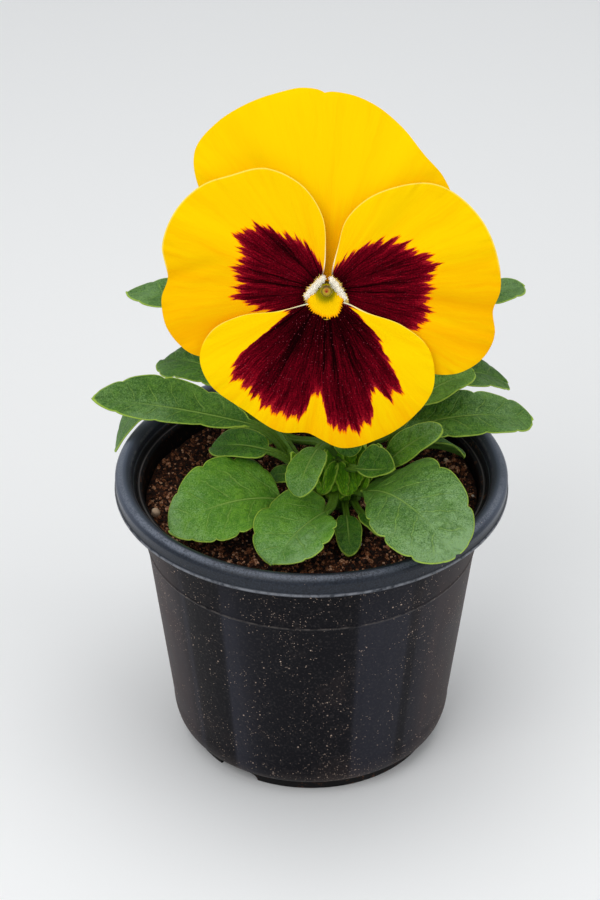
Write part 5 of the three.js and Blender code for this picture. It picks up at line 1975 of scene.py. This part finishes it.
    def stigma_shape(self) -> Shape:
        """Return the stigma's neck and head, with the dimple in its face."""
        radius, height = self.stigma_radius, self.stigma_height
        angle = np.linspace(-np.pi / 2 + 0.55, np.pi / 2, 26)
        ball = [(radius * math.cos(a), height + radius * math.sin(a)) for a in angle]
        ball = [(r, z - 0.5 * math.exp(-((r / 0.42) ** 2)) * (z > height)) for r, z in ball]
        shape = turned(np.array([(0, 2.15), (0.8, 2.15)] + ball[:-1] + [(0, ball[-1][1])]), 40)
        shape.charted()
        shape.points += np.array([0.2, 0.4, 0])
        return shape

    def beard(self, beard: Beard) -> None:
        """Grow one beard of short hairs on a soft pad."""
        u = np.linspace(0, np.pi, 22)[1:-1, None]
        v = np.linspace(0, 2 * np.pi, 24, endpoint=False)[None]
        x = beard.width / 2 * np.sin(u) ** 0.6 * np.cos(v)
        y = beard.length / 2 * np.cos(u)
        z = beard.depth / 2 * np.sin(u) ** 0.6 * np.sin(v)
        x, y = rotated(x, y, beard.lean)
        pad = self.standing(skin(xyz(x + beard.at[0], y + beard.at[1], z + beard.lift)))
        p = Paint(f"hair_{beard.node}")
        base = p.mixed(p.mark("tone"), (1.0, 0.94, 0.8), (1.0, 0.99, 0.95))
        finish = p.finish(base, 0.8, 0.2)
        rule = scatter_rule(f"rule_{beard.node}", Grain.HAIR, finish, beard.seed)
        hairs = rule.grow(pad.mesh(f"pad_{beard.node}"), (24e6, 0.00034, 0.00066), beard.node)
        place(hairs, finish, [beard.node])


# ------------------------------------------------------------------------------------------ studio


@dataclass
class Studio:
    """The pale floor, the soft lights and the camera."""

    elevation: float = 33.1
    distance: float = 712.5
    lens: float = 107.08
    aim_height: float = 82.8
    nudge: tuple[float, float] = (-3.06, 4.26)

    def softbox(self, name: str, place_mm: Point, aim_mm: Point, size: tuple[float, float], power: float,
                colour: Colour = (1, 1, 1)) -> None:
        """Hang a soft light.

        Args:
            name: The light's name.
            place_mm: Where it hangs.
            aim_mm: What it points at.
            size: Its width and height in metres.
            power: Its power in watts.
            colour: Its colour.
        """
        light = bpy.data.lights.new(name, "AREA")
        light.shape, light.size, light.size_y = "RECTANGLE", *size
        light.energy, light.color = power, colour
        self.point(stand(name, light), Vector(place_mm), Vector(aim_mm))

    def point(self, thing: bpy.types.Object, place_mm: Vector, aim_mm: Vector) -> None:
        """Put a light or the camera in its place and turn it to its aim."""
        thing.location = place_mm * MM
        thing.rotation_euler = (aim_mm - place_mm).to_track_quat("-Z", "Y").to_euler()

    def build(self) -> None:
        """Lay the floor, hang the lights and set the camera."""
        finish = Paint("studio_floor").finish((0.9, 0.9, 0.9, 1), 0.8)
        edge = 2600.0
        floor = Shape(np.array([[-edge, -edge, 0], [edge, -edge, 0], [edge, edge, 0], [-edge, edge, 0]]),
                      [(0, 1, 2, 3)]).mesh("studio_floor")
        floor.materials.append(finish)
        ground = stand("studio_floor", floor)
        world = bpy.data.worlds.new("studio_sky")
        world.use_nodes = True
        sky = world.node_tree.nodes["Background"].inputs
        sky["Color"].default_value = (0.93, 0.97, 1.0, 1)
        sky["Strength"].default_value = 0.4
        bpy.context.scene.world = world
        self.softbox("key", (-520, -760, 900), (0, 0, 100), (0.9, 0.9), 6.1)
        self.softbox("fill", (800, -500, 600), (0, 0, 90), (1.0, 1.0), 2.7)
        self.softbox("top", (0, 120, 1100), (0, 0, 90), (1.0, 0.8), 4.8)
        self.camera()
        scene = bpy.context.scene
        scene.view_settings.view_transform = "Standard"
        scene.view_settings.look = "None"

    def camera(self) -> None:
        """Set the camera as it stood for the picture."""
        e = math.radians(self.elevation)
        back = Vector((0, -math.cos(e), math.sin(e)))
        up = Vector((0, math.sin(e), math.cos(e)))
        centre = Vector((0, 0, self.aim_height))
        view = bpy.data.cameras.new("camera")
        view.lens, view.sensor_width = self.lens, 36.0
        view.clip_start, view.clip_end = 0.05, 20.0
        eye = stand("camera", view)
        target = centre + Vector((self.nudge[0], 0, 0)) + up * self.nudge[1]
        self.point(eye, centre + back * self.distance, target)
        bpy.context.scene.camera = eye


def main() -> None:
    """Build the pot, the mix, the plant and the studio."""
    pot = NurseryPot()
    pot.build()
    PottingBed(pot).build()
    Stems().build()
    Foliage().build()
    Bloom().build()
    Studio().build()


if __name__ == "__main__":
    main()
